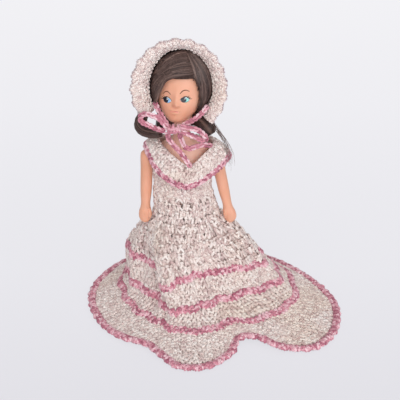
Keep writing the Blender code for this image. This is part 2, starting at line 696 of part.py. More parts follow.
def skirt_rings():
    """Give the skirt's outer side at the waist, down the thigh, at each stripe and at the hem."""
    waist = []
    upper = []
    thigh = []
    for rib, angle in zip(SKIRT_RIBS, rib_angles()):
        x, y = cos(angle), sin(angle)
        waist.append((AXIS_X + WAIST_RING[0] * x, WAIST_RING[1] * y, WAIST_HEIGHT - SEAM_GAP))
        upper.append((AXIS_X + UPPER_SHIFT + UPPER_RING[0] * x, UPPER_RING[1] * y, UPPER_RING[2]))
        stripe_reach = hypot(rib[0][0] - AXIS_X, rib[0][1])
        stripe_angle = -(-atan2(rib[0][1], rib[0][0] - AXIS_X) % (2 * pi))
        reach = UPPER_RING[0] + (stripe_reach - UPPER_RING[0]) * THIGH_SPREAD
        turn = angle + (stripe_angle - angle) * THIGH_SPREAD
        thigh.append((AXIS_X + reach * cos(turn), reach * sin(turn), THIGH_HEIGHT))
    stripes = [
        [(*rib[0], rib[4]) for rib in SKIRT_RIBS],
        [(*rib[1], STRIPE_HEIGHTS[1] * sqrt(rib[4] / STRIPE_HEIGHTS[0])) for rib in SKIRT_RIBS],
        [(*rib[2], STRIPE_HEIGHTS[2]) for rib in SKIRT_RIBS],
    ]
    rings = [closed_curve(ring, RIB_STEPS) for ring in (waist, upper, thigh, *stripes)]
    return rings + [hem_outline(2 * YARN_ROW_RADIUS + HEM_GAP)]


def skirt_column(line):
    """Give the points down one line of the skirt, with two for the edges of each pink row."""
    ends = [2 * line[0] - line[1]] + line + [2 * line[-1] - line[-2]]
    column = [line[0]] + [catmull(*ends[0:4], share) for share in (0.25, 0.46, 0.8)]
    column += [line[1]] + [catmull(*ends[1:5], share) for share in (0.55, 0.85)]
    column += [catmull(*ends[2:6], 0.5)]
    for ring in (3, 4, 5):
        slope = (catmull(*ends[ring - 1:ring + 3], 0.9) - catmull(*ends[ring:ring + 4], 0.1)).normalized()
        column += [line[ring] + slope * BAND_HALF_WIDTH, line[ring] - slope * BAND_HALF_WIDTH]
    return column + [catmull(*ends[5:9], 0.55), line[6]]


# The rows of the skirt that hold eyelets.
EYELET_ROWS = (1, 3, 5)


def skirt_surface():
    """Give the rows of points of the skirt's outer side, gathers included."""
    rings = skirt_rings()
    count = len(rings[0])
    columns = [skirt_column([ring[k] for ring in rings]) for k in range(count)]
    rows = [[column[r] for column in columns] for r in range(len(columns[0]))]
    gathered = []
    for r, row in enumerate(rows):
        strength = GATHER_DEPTH * (0.6 + 0.9 * sin(pi * r / (len(rows) - 1))) * (r < len(rows) - 1)
        ring = []
        for k, point in enumerate(inwards(row, 1.0)):
            waist = rings[0][k]
            turn = atan2((waist.y) / WAIST_RING[1], (waist.x - AXIS_X) / WAIST_RING[0])
            room = min(1.0, (row[(k + 1) % count] - row[k - 1]).length / (2 * CLOTH_THICKNESS))
            shift = strength * room * cos(GATHER_COUNT * turn)
            moved = row[k] + (point - row[k]) * shift
            moved.z = max(moved.z, CLOTH_THICKNESS + 0.1)
            ring.append(moved)
        gathered.append(ring)
    return gathered


def eyelets(rows, count):
    """Choose the openwork holes: columns of them below the waist, one in each gather."""
    return [
        (row, round(count * (gather + 0.5) / GATHER_COUNT) % count)
        for gather in range(GATHER_COUNT)
        for row in rows
    ]


def make_skirt(doll):
    """Make the skirt, its three pink rows and the pink row on its hem."""
    surface = skirt_surface()
    holes = eyelets(EYELET_ROWS, len(surface[0]))
    doll.cloth("skirt", surface, "plan", doll.cream, CLOTH_THICKNESS, holes=holes)
    for number, name in enumerate(("lower", "middle", "upper")):
        row = len(surface) - 4 - 2 * number
        make_band(doll, "pink_row_" + name, surface[row], surface[row + 1])
    doll.floor_row("hem_row", hem_outline(YARN_ROW_RADIUS), YARN_ROW_RADIUS, SHELL_LENGTH)


def make_band(doll, name, high, low):
    """Make one raised pink row that lies on the skirt between two of its rows."""
    count = len(high)
    rows = ([], [])
    for k in range(count):
        up = (high[k] - low[k]).normalized()
        along = (high[(k + 1) % count] - high[k - 1]) + (low[(k + 1) % count] - low[k - 1])
        lift = up.cross(along).normalized() * (SEAM_GAP + BAND_THICKNESS)
        rows[0].append(high[k] - up * SEAM_GAP + lift)
        rows[1].append(low[k] + up * SEAM_GAP + lift)
    doll.cloth(name, rows, "plan", doll.pink, BAND_THICKNESS)


def make_bodice(doll):
    """Make the knitted bodice between the waist and the collar."""
    top = SHOULDER_HEIGHT - 4.2
    rows = []
    for share in (1.0, 0.67, 0.33, 0.0):
        z = WAIST_HEIGHT + (top - WAIST_HEIGHT) * share
        half_width = WAIST_RING[0] + 0.6 * share
        half_depth = WAIST_RING[1] + 0.6 * share
        rows.append(list(reversed(oval(AXIS_X, -0.6 * share, z, half_width, half_depth, 22))))
    doll.cloth("bodice", rows, "plan", doll.cream, CLOTH_THICKNESS)


def make_collar(doll):
    """Make the wide collar that lies over both shoulders, and its pink row."""
    steps = 4
    shift = Vector((AXIS_X, 0, SHOULDER_HEIGHT))
    neck = [p + shift for p in closed_curve(COLLAR_NECK_EDGE, steps)]
    outer = [p + shift for p in closed_curve(COLLAR_OUTER_EDGE, steps)]
    middle = Vector((AXIS_X, 0, SHOULDER_HEIGHT - COLLAR_CENTRE_DROP))
    rows = []
    for share in (0.0, 0.33, 0.67, 1.0):
        row = []
        for a, b in zip(neck, outer):
            point = a.lerp(b, share)
            out = (point - middle).normalized()
            row.append(point + out * COLLAR_BULGE * 4 * share * (1 - share))
        rows.append(list(reversed(row)))
    doll.cloth("collar", rows, "plan", doll.cream, CLOTH_THICKNESS)
    edge = []
    for a, b in zip(neck, outer):
        beyond = (b - a).normalized()
        edge.append(b + beyond * (YARN_ROW_RADIUS + SEAM_GAP))
    doll.yarn("collar_row", edge, YARN_ROW_RADIUS, 1.5 * STITCH_LENGTH, "plan", closed=True)


def bonnet_profile():
    """Give forward reach, half width and half height from the crown to the brim's edge."""
    spare = HAIR_LIFT + HAIR_THICKNESS + CLOTH_GAP + CLOTH_THICKNESS
    snug_width = HEAD_HALF_WIDTH + spare
    snug_height = HEAD_HALF_HEIGHT + spare
    snug_depth = HEAD_HALF_DEPTH + spare + 1.4
    dome = [
        (0.5 - snug_depth * cos(angle), snug_width * sin(angle) ** 0.85, snug_height * sin(angle) ** 0.85)
        for angle in (radians(5), radians(22), radians(40), radians(58), radians(75))
    ]
    flare = []
    for share in (0.0, 0.25, 0.5, 0.75, 1.0):
        reach = 1.5 + 6.0 * sin(share * pi / 2) + 0.5 * (round(share * 4) % 2)
        flare.append((
            reach,
            snug_width + (BRIM_HALF_WIDTH - snug_width) * share,
            snug_height + (BRIM_HALF_HEIGHT - snug_height) * share,
        ))
    return dome + flare


def make_bonnet(doll):
    """Make the bonnet: a crown round the back of the head and a flared, wavy brim."""
    steps = 2 * BRIM_WAVES
    start = radians(BONNET_START)
    middle = Vector((AXIS_X - 0.3, HEAD_CENTRE_BACK, HEAD_CENTRE_HEIGHT))
    tilt = Matrix.Rotation(-radians(BONNET_TILT), 3, "X")
    rows = []
    profile = bonnet_profile()
    for number, (reach, half_width, half_height) in enumerate(profile):
        share = max(0.0, (number - 5) / (len(profile) - 6))
        row = []
        for k in range(steps + 1):
            angle = start + radians(BONNET_SWEEP) * k / steps
            wave = BRIM_WAVE * share * cos(2 * pi * BRIM_WAVES * k / steps)
            place = Vector(((half_width + wave) * cos(angle), -reach, (half_height + wave) * sin(angle)))
            place.x += BRIM_SHIFT * share
            row.append(middle + tilt @ place)
        rows.append(row)
    doll.cloth("bonnet", rows, "neck", doll.cream, CLOTH_THICKNESS, closed=False)


def make_bow(doll):
    """Make the bonnet's two ties and the bow they are tied in."""
    shift = Vector((AXIS_X, 0, HEAD_CENTRE_HEIGHT))
    pieces = (
        ("chin_tie_left", TIE_LEFT_ROUTE), ("chin_tie_right", TIE_RIGHT_ROUTE),
        ("bow_loop_left", LOOP_LEFT_ROUTE), ("bow_loop_right", LOOP_RIGHT_ROUTE),
        ("bow_tail_long", TAIL_LONG_ROUTE), ("bow_tail_short", TAIL_SHORT_ROUTE),
    )
    for name, route in pieces:
        line = [p + shift for p in open_curve(route, 6)]
        doll.yarn(name, line, TIE_RADIUS, STITCH_LENGTH, "neck")
    knot = Vector(KNOT_CENTRE) + shift
    doll.ball("bow_knot", knot, KNOT_HALF_SIZES, "neck", doll.pink, 14, 8)


def main():
    """Build the doll from the inside out."""
    doll = Doll()
    make_torso(doll)
    make_head(doll)
    make_hair(doll)
    for side, sign, lean in (("left", -1, ARM_LEAN_LEFT), ("right", 1, ARM_LEAN_RIGHT)):
        make_arm(doll, side, sign, lean)
        make_leg(doll, side, sign)
    make_hip_rod(doll)
    make_bodice(doll)
    make_skirt(doll)
    make_collar(doll)
    make_bonnet(doll)
    make_bow(doll)


main()
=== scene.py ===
"""The looks of a small vinyl doll in a crocheted dress and bonnet.

Lengths are in millimetres on the plan that the doll was drawn on, and become
metres in the model's frame when a mesh is made. The crochet is made of single
strands of yarn, laid in stitches on a smooth base cloth, coloured darker than
the yarn as painted shade between the stitches.
"""
from math import atan2, cos, pi, radians, sin, sqrt

import bmesh
import bpy
import numpy as np
from mathutils import Euler, Matrix, Vector
from mathutils.bvhtree import BVHTree


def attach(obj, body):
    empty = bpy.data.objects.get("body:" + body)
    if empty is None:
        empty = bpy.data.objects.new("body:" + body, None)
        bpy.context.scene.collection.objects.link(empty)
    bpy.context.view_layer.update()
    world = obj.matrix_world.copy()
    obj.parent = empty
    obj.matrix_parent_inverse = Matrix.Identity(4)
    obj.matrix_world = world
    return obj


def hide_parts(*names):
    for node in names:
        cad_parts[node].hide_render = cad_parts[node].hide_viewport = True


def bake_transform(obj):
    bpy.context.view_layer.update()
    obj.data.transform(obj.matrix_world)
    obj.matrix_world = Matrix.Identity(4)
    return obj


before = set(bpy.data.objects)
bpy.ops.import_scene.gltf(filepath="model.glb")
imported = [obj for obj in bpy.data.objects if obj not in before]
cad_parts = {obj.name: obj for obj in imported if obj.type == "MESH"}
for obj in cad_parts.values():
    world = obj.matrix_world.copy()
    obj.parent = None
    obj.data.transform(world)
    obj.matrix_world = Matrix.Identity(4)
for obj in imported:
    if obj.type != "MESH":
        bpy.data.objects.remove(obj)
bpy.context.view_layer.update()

MM = 0.001
SEED = 7

# Where the plan stands in the frame, and where the doll stands on the plan.
PLAN_ORIGIN = (15.5, -17.1, 0.0)
AXIS_X = -2.3

# The photograph's camera, in plan millimetres, degrees and lens millimetres.
CAMERA_LOOK = (8.0, 0.0, 62.0)
CAMERA_DISTANCE = 500.0
CAMERA_ELEVATION = 25.0
CAMERA_LENS = 75.0
CAMERA_SENSOR = 36.0

# Sizes shared with the solid model.
SHOULDER_HEIGHT = 90.5
WAIST_HEIGHT = 70.0
HEAD_CENTRE = (AXIS_X, 1.0, 133.0)
HEAD_HALF_SIZES = (15.0, 15.6, 19.0)
FACE_TURN = -9.0
JAW_FULLNESS = 0.5
JAW_REACH = 4.6
JAW_SHIFT = 1.5
HAIR_LIFT = 1.1
HAIR_THICKNESS = 1.3
FRINGE_LIFT = 0.35
FRINGE_TURN = 34.0
FRINGE_FALL = 26.0
FRINGE_DOWN = 67.0
NAPE_DOWN = 124.0
CLOTH_GAP = 1.0
CLOTH_THICKNESS = 1.7
ARM_OFFSET = 20.9
ARM_RADIUS = 3.7
HAND_DROP = 40.6
ARM_LEANS = {"left": 1.7, "right": 7.6}
YARN_ROW_RADIUS = 1.75
GATHER_COUNT = 16
GATHER_DEPTH = 0.9

# Yarn and stitches.
YARN_RADIUS = 0.62
PINK_YARN_RADIUS = 0.74
CHAIN_PITCH = 2.3
POST_PITCH = 2.7
STITCH_PITCH = {1: 2.7, 2: 2.8, 3: 3.1}
FINE_PITCH = 2.3
FINE_HEIGHT = 2.0

# The three strands of a knotted stitch: lean in degrees, place across and down
# as shares of its size, and lift.
BUMP_STRANDS = ((-22.0, -0.25, 0.05, 0.0), (22.0, 0.25, 0.0, 0.0), (90.0, 0.0, -0.42, 0.2))

# Rows of stitches in each tier of the skirt, the rows in a tier with wide gaps
# between the clusters, how wide, and the rows of the skirt's grid with eyelets.
TIER_ROWS = (10, 4, 3, 9)
OPEN_TIER_ROWS = (1, 3, 5)
OPENWORK_GAP = 1.4
EYELET_ROWS = (2, 8, 13)

# Rows of stitches on the bodice and the collar, and columns of the bodice's grid.
BODICE_ROWS = 7
COLLAR_ROWS = 5
BODICE_STEPS = 96

# Hair: how many strands, and where the parting is, in degrees from the face's middle.
HAIR_COUNT = 1900
LOCK_COUNT = 360
NAPE_COUNT = 420
WISP_COUNT = 18
PARTING_TURN = 38.0
NAPE_REACH = (-15.0, 13.0)
NAPE_FALL = 17.5

# Each rib is a line down the skirt: its place in plan at the three pink rows
# and at the outer edge of the hem, its height at the top row and the lift of
# the hem there.
SKIRT_RIBS = (
    ((46, -1), (57, -3), (67, -8), (88, -6), 23.0, 0.0),
    ((46, -9), (55, -13), (64, -24), (92, -26), 23.0, 0.0),
    ((39, -14), (46, -20), (58, -33), (87, -50), 24.5, 0.0),
    ((30, -19), (36, -26), (49, -41), (73, -67), 25.5, 0.0),
    ((21, -22), (27, -31), (39, -46), (54, -68), 26.0, 0.6),
    ((15, -24), (20, -34), (29, -47), (40, -60), 26.0, 2.0),
    ((11, -26), (15, -38), (21, -51), (31, -60), 26.5, 1.2),
    ((6, -28), (9, -41), (14, -56), (26, -73), 26.5, 0.2),
    ((1, -31), (4, -44), (6, -57), (12, -85), 26.5, 0.0),
    ((-5, -34), (-2, -46), (-3, -57), (-4, -85), 25.0, 0.0),
    ((-11, -37), (-7, -46), (-9, -54), (-14, -75), 23.0, 0.4),
    ((-15.5, -34), (-11, -42), (-15, -49), (-23, -65), 22.5, 1.0),
    ((-12, -27), (-14, -36), (-20, -44), (-35, -59), 24.0, 0.6),
    ((-14, -19.5), (-18.5, -29), (-26, -39), (-46, -49), 26.5, 0.0),
    ((-24, -13), (-27, -22), (-32, -31), (-54, -36), 28.0, 0.0),
    ((-33, -4), (-33, -12), (-37, -20), (-60, -18), 28.0, 0.0),
    ((-36, 7), (-36, 0), (-41, -5), (-60, 1), 28.0, 0.0),
    ((-32, 18), (-35, 13), (-40, 12), (-52, 22), 28.0, 0.0),
    ((-22, 26), (-26, 25), (-31, 27), (-38, 39), 28.0, 0.0),
    ((-8, 29), (-12, 32), (-15, 37), (-18, 49), 28.0, 0.0),
    ((7, 29), (4, 34), (4, 39), (6, 52), 28.0, 0.0),
    ((21, 26), (22, 31), (26, 37), (32, 50), 27.0, 0.0),
    ((34, 19), (39, 24), (48, 29), (56, 38), 26.0, 0.0),
    ((43, 9), (52, 11), (62, 13), (74, 19), 24.0, 0.0),
)
STRIPE_HEIGHTS = (26.0, 13.0, 5.6)
UPPER_RING = (18.6, 16.2, 54.0)
UPPER_SHIFT = 2.2
THIGH_HEIGHT = 43.0
THIGH_SPREAD = 0.46
WAIST_RING = (15.9, 11.8)
HEM_GAP = 0.6
HEM_HEIGHT = 1.45
SCALLOP_LENGTH = 6.4
RIB_STEPS = 10
RING_STEPS = (10, 6, 10, 8, 7, 12)

# Collar edges about the doll's axis and the shoulder height, from the front
# round by the right.
COLLAR_NECK_EDGE = (
    (4.0, -13.4, -1.0), (12.4, -11.2, 5.0), (18.0, -3.0, 9.4), (13.0, 7.6, 9.7),
    (0.0, 10.4, 7.5), (-12.0, 7.6, 9.7), (-13.6, -3.0, 10.7), (-6.0, -12.4, 5.5),
)
COLLAR_OUTER_EDGE = (
    (2.4, -16.4, -11.0), (16.0, -13.2, -5.2), (26.5, -2.0, 2.8), (19.0, 10.6, 0.5),
    (0.0, 14.0, -6.5), (-17.0, 10.6, 1.0), (-20.4, -1.5, 8.0), (-12.2, -13.8, -3.4),
)
COLLAR_BULGE = 1.1
COLLAR_CENTRE_DROP = 6.5

# Bonnet.
BONNET_TILT = 5.0
BONNET_START = -45.0
BONNET_SWEEP = 260.0
BRIM_HALF_WIDTH = 26.2
BRIM_HALF_HEIGHT = 26.4
BRIM_SHIFT = -1.2
BRIM_WAVE = 0.5
BRIM_WAVES = 15
BRIM_REACH = 5.2
BRIM_CURVE = 2.8
BRIM_EXTRA = 0.6
BONNET_STEPS = 180

# Routes of the crocheted chains of the bow, about the doll's axis and the
# head's centre height.
BOW_ROUTES = {
    "chin_tie_right": (
        (14.1, -8.0, -9.8), (11.4, -11.5, -12.1), (6.8, -14.6, -15.0), (0.0, -15.0, -18.6),
    ),
    "chin_tie_left": (
        (-14.6, -7.6, -7.8), (-12.9, -12.2, -10.2), (-10.4, -14.2, -13.9), (-7.8, -14.9, -18.2),
    ),
    "bow_loop_left": (
        (-8.3, -18.6, -17.3), (-11.7, -18.8, -13.4), (-15.8, -18.6, -11.1), (-19.7, -17.8, -10.5),
        (-22.3, -17.2, -12.2), (-21.8, -17.2, -15.1), (-17.9, -18.0, -17.1), (-13.5, -18.2, -19.1),
        (-9.1, -18.2, -20.3),
    ),
    "bow_loop_right": (
        (0.4, -18.8, -17.4), (3.9, -18.4, -18.5), (8.1, -17.6, -19.6), (11.7, -16.6, -22.4),
        (13.7, -15.6, -25.7), (11.2, -15.2, -26.6), (6.9, -16.0, -24.3), (3.3, -17.0, -22.4),
        (0.3, -17.6, -20.9),
    ),
    "bow_tail_long": (
        (-7.7, -17.4, -22.4), (-7.3, -16.6, -25.4), (-5.1, -16.2, -28.6),
        (-2.1, -16.2, -32.2), (0.8, -16.8, -35.7), (3.9, -18.0, -40.1),
    ),
    "bow_tail_short": (
        (-1.0, -16.4, -23.1), (-0.1, -14.8, -26.9), (1.3, -13.4, -30.9), (3.8, -13.2, -32.7),
        (7.5, -13.2, -31.8), (10.9, -13.0, -30.7), (14.9, -12.4, -31.0),
    ),
}
KNOT_CENTRE = (-4.2, -17.8, -19.3)

# Routes of the two hair locks on the plan, with heights about the head's centre.
LOCK_ROUTES = {
    "left": (
        (-20.6, 4.0, -13.0), (-25.6, -0.6, -19.4), (-25.0, -6.0, -23.2),
        (-19.8, -10.0, -24.6), (-13.4, -11.2, -24.4),
    ),
    "right": ((6.8, 3.0, -16.2), (8.0, 0.8, -19.2), (11.4, -2.2, -22.8), (14.4, -4.6, -27.2)),
}
LOCK_GROWTH = {"left": 1.2, "right": 1.9}
LOCK_WIDTHS = {"left": 3.6, "right": 4.9}


# Curves and grids

def catmull(a, b, c, d, t):
    """Read the smooth curve that passes b and c at the share t of the way."""
    square = 2 * a - 5 * b + 4 * c - d
    cube = 3 * b - a - 3 * c + d
    return 0.5 * (2 * b + (c - a) * t + square * t ** 2 + cube * t ** 3)


def closed_curve(points, steps):
    """Read a smooth closed curve through the points, steps times between each."""
    p = np.array(points, float)
    count = len(p)
    return np.array([
        catmull(p[i - 1], p[i], p[(i + 1) % count], p[(i + 2) % count], k / steps)
        for i in range(count)
        for k in range(steps)
    ])


def open_curve(points, steps):
    """Read a smooth open curve through the points, steps times between each."""
    p = np.array(points, float)
    p = np.vstack([2 * p[0] - p[1], p, 2 * p[-1] - p[-2]])
    read = [
        catmull(*p[i:i + 4], k / steps)
        for i in range(len(p) - 3)
        for k in range(steps)
    ]
    return np.array(read + [p[-2]])


def unit(v):
    """Scale vectors in the last axis to length one."""
    return v / np.maximum(np.linalg.norm(v, axis=-1, keepdims=True), 1e-9)


def line_length(line):
    """Measure along an open line."""
    return np.linalg.norm(np.diff(line, axis=0), axis=1).sum()


def walk(line, count):
    """Give count points evenly along an open line, with the direction at each."""
    steps = np.linalg.norm(np.diff(line, axis=0), axis=1)
    along = np.concatenate([[0], np.cumsum(steps)])
    at = np.linspace(0, along[-1], count)
    points = np.stack([np.interp(at, along, line[:, k]) for k in range(3)], axis=1)
    return points, unit(np.gradient(points, axis=0))


class Cloth:
    """Hold a grid of points on a cloth's outer side and read it between them."""

    def __init__(self, grid, closed):
        self.grid = np.asarray(grid, float)
        self.closed = closed
        if closed:
            ahead = np.roll(self.grid, -1, axis=1)
            behind = np.roll(self.grid, 1, axis=1)
            self.across = (ahead - behind) / 2
        else:
            self.across = np.gradient(self.grid, axis=1)
        self.down = np.gradient(self.grid, axis=0)
        self.normal = unit(np.cross(self.across, self.down))

    def read(self, field, rows, columns):
        """Read one of the grids at fractional rows and columns."""
        height, width = self.grid.shape[:2]
        rows = np.clip(rows, 0, height - 1.0001)
        r = np.floor(rows).astype(int)
        if self.closed:
            c = np.floor(columns).astype(int)
            after = (c + 1) % width
            share = (columns - c)[..., None]
            c = c % width
        else:
            columns = np.clip(columns, 0, width - 1.0001)
            c = np.floor(columns).astype(int)
            after = c + 1
            share = (columns - c)[..., None]
        fall = (rows - r)[..., None]
        top = field[r, c] * (1 - share) + field[r, after] * share
        low = field[r + 1, c] * (1 - share) + field[r + 1, after] * share
        return top * (1 - fall) + low * fall

    def row_line(self, row):
        """Give the columns along a row, and the points there."""
        width = self.grid.shape[1]
        edge = np.arange(width + 1 if self.closed else width).astype(float)
        return edge, self.read(self.grid, np.full(len(edge), float(row)), edge)

    def along_row(self, row, count, start=0.0):
        """Give the columns of count places spread evenly along a row."""
        edge, line = self.row_line(row)
        along = np.concatenate([[0], np.cumsum(np.linalg.norm(np.diff(line, axis=0), axis=1))])
        at = (np.arange(count) + start) / count * along[-1]
        return np.interp(at, along, edge)

    def row_length(self, row):
        """Measure along a row."""
        return line_length(self.row_line(row)[1])

    def height_between(self, top, low):
        """Measure down the cloth between two rows, on average."""
        rows = np.linspace(top, low, 12)
        width = self.grid.shape[1]
        columns = np.linspace(0, width - 1, 24)
        points = np.stack([self.read(self.grid, np.full(24, r), columns) for r in rows])
        return np.linalg.norm(np.diff(points, axis=0), axis=2).sum(axis=0).mean()

    def lay(self, rows, columns, local):
        """Bend strands of local points (across, down, out) onto the cloth at their places."""
        across = np.linalg.norm(self.read(self.across, rows, columns), axis=1)
        down = np.linalg.norm(self.read(self.down, rows, columns), axis=1)
        at_rows = rows[:, None] + local[:, :, 1] / np.maximum(down, 0.05)[:, None]
        at_columns = columns[:, None] + local[:, :, 0] / np.maximum(across, 0.05)[:, None]
        normal = unit(self.read(self.normal, at_rows, at_columns))
        points = self.read(self.grid, at_rows, at_columns) + normal * local[:, :, 2:3]
        return points, normal


# Strands of yarn

class Strands:
    """Collect strands of yarn or hair, and make them into one mesh."""

    def __init__(self, name, sides=5):
        self.name = name
        self.sides = sides
        self.points = []
        self.faces = []
        self.shades = []
        self.count = 0

    def add(self, points, normals, radii, shades):
        """Add strands: points and normals (n, p, 3), radii (n, p) or a number, shades (n)."""
        strands, steps = points.shape[:2]
        if strands == 0:
            return
        sides = self.sides
        along = unit(np.gradient(points, axis=1))
        side = unit(np.cross(along, normals))
        out = unit(np.cross(side, along))
        angles = 2 * pi * (np.arange(sides) + 0.5) / sides
        radii = np.broadcast_to(radii, (strands, steps))[:, :, None, None]
        ring = np.cos(angles)[None, None, :, None] * side[:, :, None, :]
        ring = ring + np.sin(angles)[None, None, :, None] * out[:, :, None, :]
        tube = points[:, :, None, :] + ring * radii
        first = self.count + np.arange(strands) * steps * sides
        p, s = np.meshgrid(np.arange(steps - 1), np.arange(sides), indexing="ij")
        after = (s + 1) % sides
        low, high = p * sides, (p + 1) * sides
        quad = np.stack([low + s, high + s, high + after, low + after], axis=-1)
        quads = (first[:, None, None] + quad.reshape(1, -1, 4)).reshape(-1, 4)
        start = first[:, None] + np.arange(sides)[None]
        end = first[:, None] + (steps - 1) * sides + np.arange(sides)[::-1][None]
        self.points.append(tube.reshape(-1, 3))
        self.faces.append((quads, np.concatenate([start, end])))
        self.shades.append(np.repeat(shades, steps * sides))
        self.count += strands * steps * sides

    def make(self, material):
        """Make the mesh object, with each strand's shade as an attribute."""
        points = np.concatenate(self.points)
        quads = np.concatenate([f[0] for f in self.faces])
        caps = np.concatenate([f[1] for f in self.faces])
        made = mesh_object(self.name, points, [quads, caps], material)
        shade = made.data.attributes.new("shade", "FLOAT", "POINT")
        shade.data.foreach_set("value", np.concatenate(self.shades).astype(np.float32))
        return made


def add_object(name, data):
    """Put a new object with its data into the scene."""
    made = bpy.data.objects.new(name, data)
    bpy.context.scene.collection.objects.link(made)
    return made


def mesh_object(name, points, face_groups, material):
    """Make a smooth mesh object from plan points and arrays of faces."""
    data = bpy.data.meshes.new(name)
    place = (np.asarray(points, float) - np.array(PLAN_ORIGIN)) * MM
    loops = np.concatenate([np.asarray(g, np.int32).reshape(-1) for g in face_groups])
    sizes = np.concatenate([np.full(len(g), np.asarray(g).shape[1], np.int32) for g in face_groups])
    starts = np.concatenate([[0], np.cumsum(sizes)[:-1]]).astype(np.int32)
    data.vertices.add(len(place))
    data.vertices.foreach_set("co", place.astype(np.float32).reshape(-1))
    data.loops.add(len(loops))
    data.loops.foreach_set("vertex_index", loops)
    data.polygons.add(len(sizes))
    data.polygons.foreach_set("loop_start", starts)
    data.update(calc_edges=True)
    data.validate()
    data.shade_smooth()
    made = add_object(name, data)
    data.materials.append(material)
    return made


def grid_faces(height, width, closed, holes=None):
    """Give the faces of a grid of points, leaving out those in holes."""
    wide = np.arange(width if closed else width - 1)
    r, c = np.meshgrid(np.arange(height - 1), wide, indexing="ij")
    after = (c + 1) % width
    top, low = r * width, (r + 1) * width
    faces = np.stack([top + c, top + after, low + after, low + c], axis=-1)
    faces = faces.reshape(-1, 4)[:, ::-1]
    if holes is not None:
        faces = faces[~holes.reshape(-1)]
    return faces


def shell_object(name, cloth, depth, thickness, material, holes=None):
    """Make the smooth base cloth as a closed shell, from depth under the outer side."""
    height, width = cloth.grid.shape[:2]
    outer = cloth.grid - cloth.normal * depth
    faces = grid_faces(height, width, cloth.closed, holes)
    made = mesh_object(name, outer.reshape(-1, 3), [faces], material)
    thicken(made, thickness)
    return made


def thicken(made, thickness):
    """Give an open mesh its thickness, inwards, as a closed shell."""
    shell = bmesh.new()
    shell.from_mesh(made.data)
    loose = [v for v in shell.verts if not v.link_faces]
    bmesh.ops.delete(shell, geom=loose, context="VERTS")
    shell.to_mesh(made.data)
    shell.free()
    solid = made.modifiers.new("thickness", "SOLIDIFY")
    solid.thickness = thickness * MM
    solid.offset = 1
    apply_modifiers(made)


def apply_modifiers(made):
    """Apply an object's modifiers to its mesh."""
    graph = bpy.context.evaluated_depsgraph_get()
    evaluated = made.evaluated_get(graph)
    data = bpy.data.meshes.new_from_object(evaluated)
    made.modifiers.clear()
    made.data = data


# Materials

class Nodes:
    """Build one material's nodes in short calls."""

    def __init__(self, name, roughness):
        self.material = bpy.data.materials.new(name)
        self.material.use_nodes = True
        self.tree = self.material.node_tree
        self.shader = self.tree.nodes["Principled BSDF"]
        self.shader.inputs["Roughness"].default_value = roughness

    def add(self, kind, **values):
        """Add a node, and set its properties or its inputs by name."""
        node = self.tree.nodes.new(kind)
        for key, value in values.items():
            if hasattr(node, key):
                setattr(node, key, value)
            else:
                node.inputs[key.replace("_", " ")].default_value = value
        return node

    def link(self, out, into):
        """Link an output to an input."""
        self.tree.links.new(out, into)

    def place(self):
        """Give the object's own coordinates."""
        return self.add("ShaderNodeTexCoord").outputs["Object"]

    def noise(self, scale, detail=2.0, roughness=0.5):
        """Add noise in the object's coordinates."""
        node = self.add("ShaderNodeTexNoise")
        node.inputs["Scale"].default_value = scale
        node.inputs["Detail"].default_value = detail
        node.inputs["Roughness"].default_value = roughness
        self.link(self.place(), node.inputs["Vector"])
        return node.outputs["Fac"]

    def ramp(self, factor, stops):
        """Turn a factor into a colour by stops of (place, colour)."""
        node = self.add("ShaderNodeValToRGB")
        elements = node.color_ramp.elements
        while len(elements) < len(stops):
            elements.new(0.5)
        for element, (where, colour) in zip(elements, stops):
            element.position = where
            element.color = (*colour, 1)
        self.link(factor, node.inputs["Fac"])
        return node.outputs["Color"]

    def mix(self, factor, first, second, blend="MIX"):
        """Mix two colours. Each is an output or a colour."""
        node = self.add("ShaderNodeMix", data_type="RGBA", blend_type=blend)
        for value, socket in ((factor, node.inputs[0]), (first, node.inputs[6]), (second, node.inputs[7])):
            if isinstance(value, bpy.types.NodeSocket):
                self.link(value, socket)
            elif isinstance(value, tuple):
                socket.default_value = (*value, 1)
            else:
                socket.default_value = value
        return node.outputs[2]

    def math(self, operation, first, second):
        """Work out one number from two. Each is an output or a number."""
        node = self.add("ShaderNodeMath", operation=operation)
        for value, socket in zip((first, second), node.inputs):
            if isinstance(value, bpy.types.NodeSocket):
                self.link(value, socket)
            else:
                socket.default_value = value
        return node.outputs[0]

    def bump(self, height, strength, distance):
        """Raise the surface by a height."""
        node = self.add("ShaderNodeBump")
        node.inputs["Strength"].default_value = strength
        node.inputs["Distance"].default_value = distance
        self.link(height, node.inputs["Height"])
        self.link(node.outputs["Normal"], self.shader.inputs["Normal"])

    def colour(self, out):
        """Set the base colour from an output."""
        self.link(out, self.shader.inputs["Base Color"])
        return self.material


def yarn_material(name, dark, middle, light, differ, age=None):
    """Make a marled yarn: each strand has its own shade, with fine plies and fuzz."""
    n = Nodes(name, 0.85)
    own = n.add("ShaderNodeAttribute", attribute_name="shade").outputs["Fac"]
    fine = n.noise(1100.0, 2.0, 0.6)
    patches = n.noise(260.0, 2.0)
    factor = n.math("ADD", n.math("MULTIPLY", own, differ), n.math("MULTIPLY", fine, 1.0 - differ))
    factor = n.math("ADD", factor, n.math("MULTIPLY", patches, 0.26))
    shade = n.ramp(factor, ((0.34, dark), (0.62, middle), (0.92, light)))
    if age is not None:
        where = n.ramp(n.noise(26.0, 1.0), ((0.52, (0, 0, 0)), (0.68, (1, 1, 1))))
        shade = n.mix(n.math("MULTIPLY", where, 0.28), shade, age, "MULTIPLY")
    n.shader.inputs["Sheen Weight"].default_value = 0.25
    n.shader.inputs["Sheen Roughness"].default_value = 0.5
    n.bump(n.noise(2600.0, 3.0, 0.7), 0.5, 0.0002)
    return n.colour(shade)


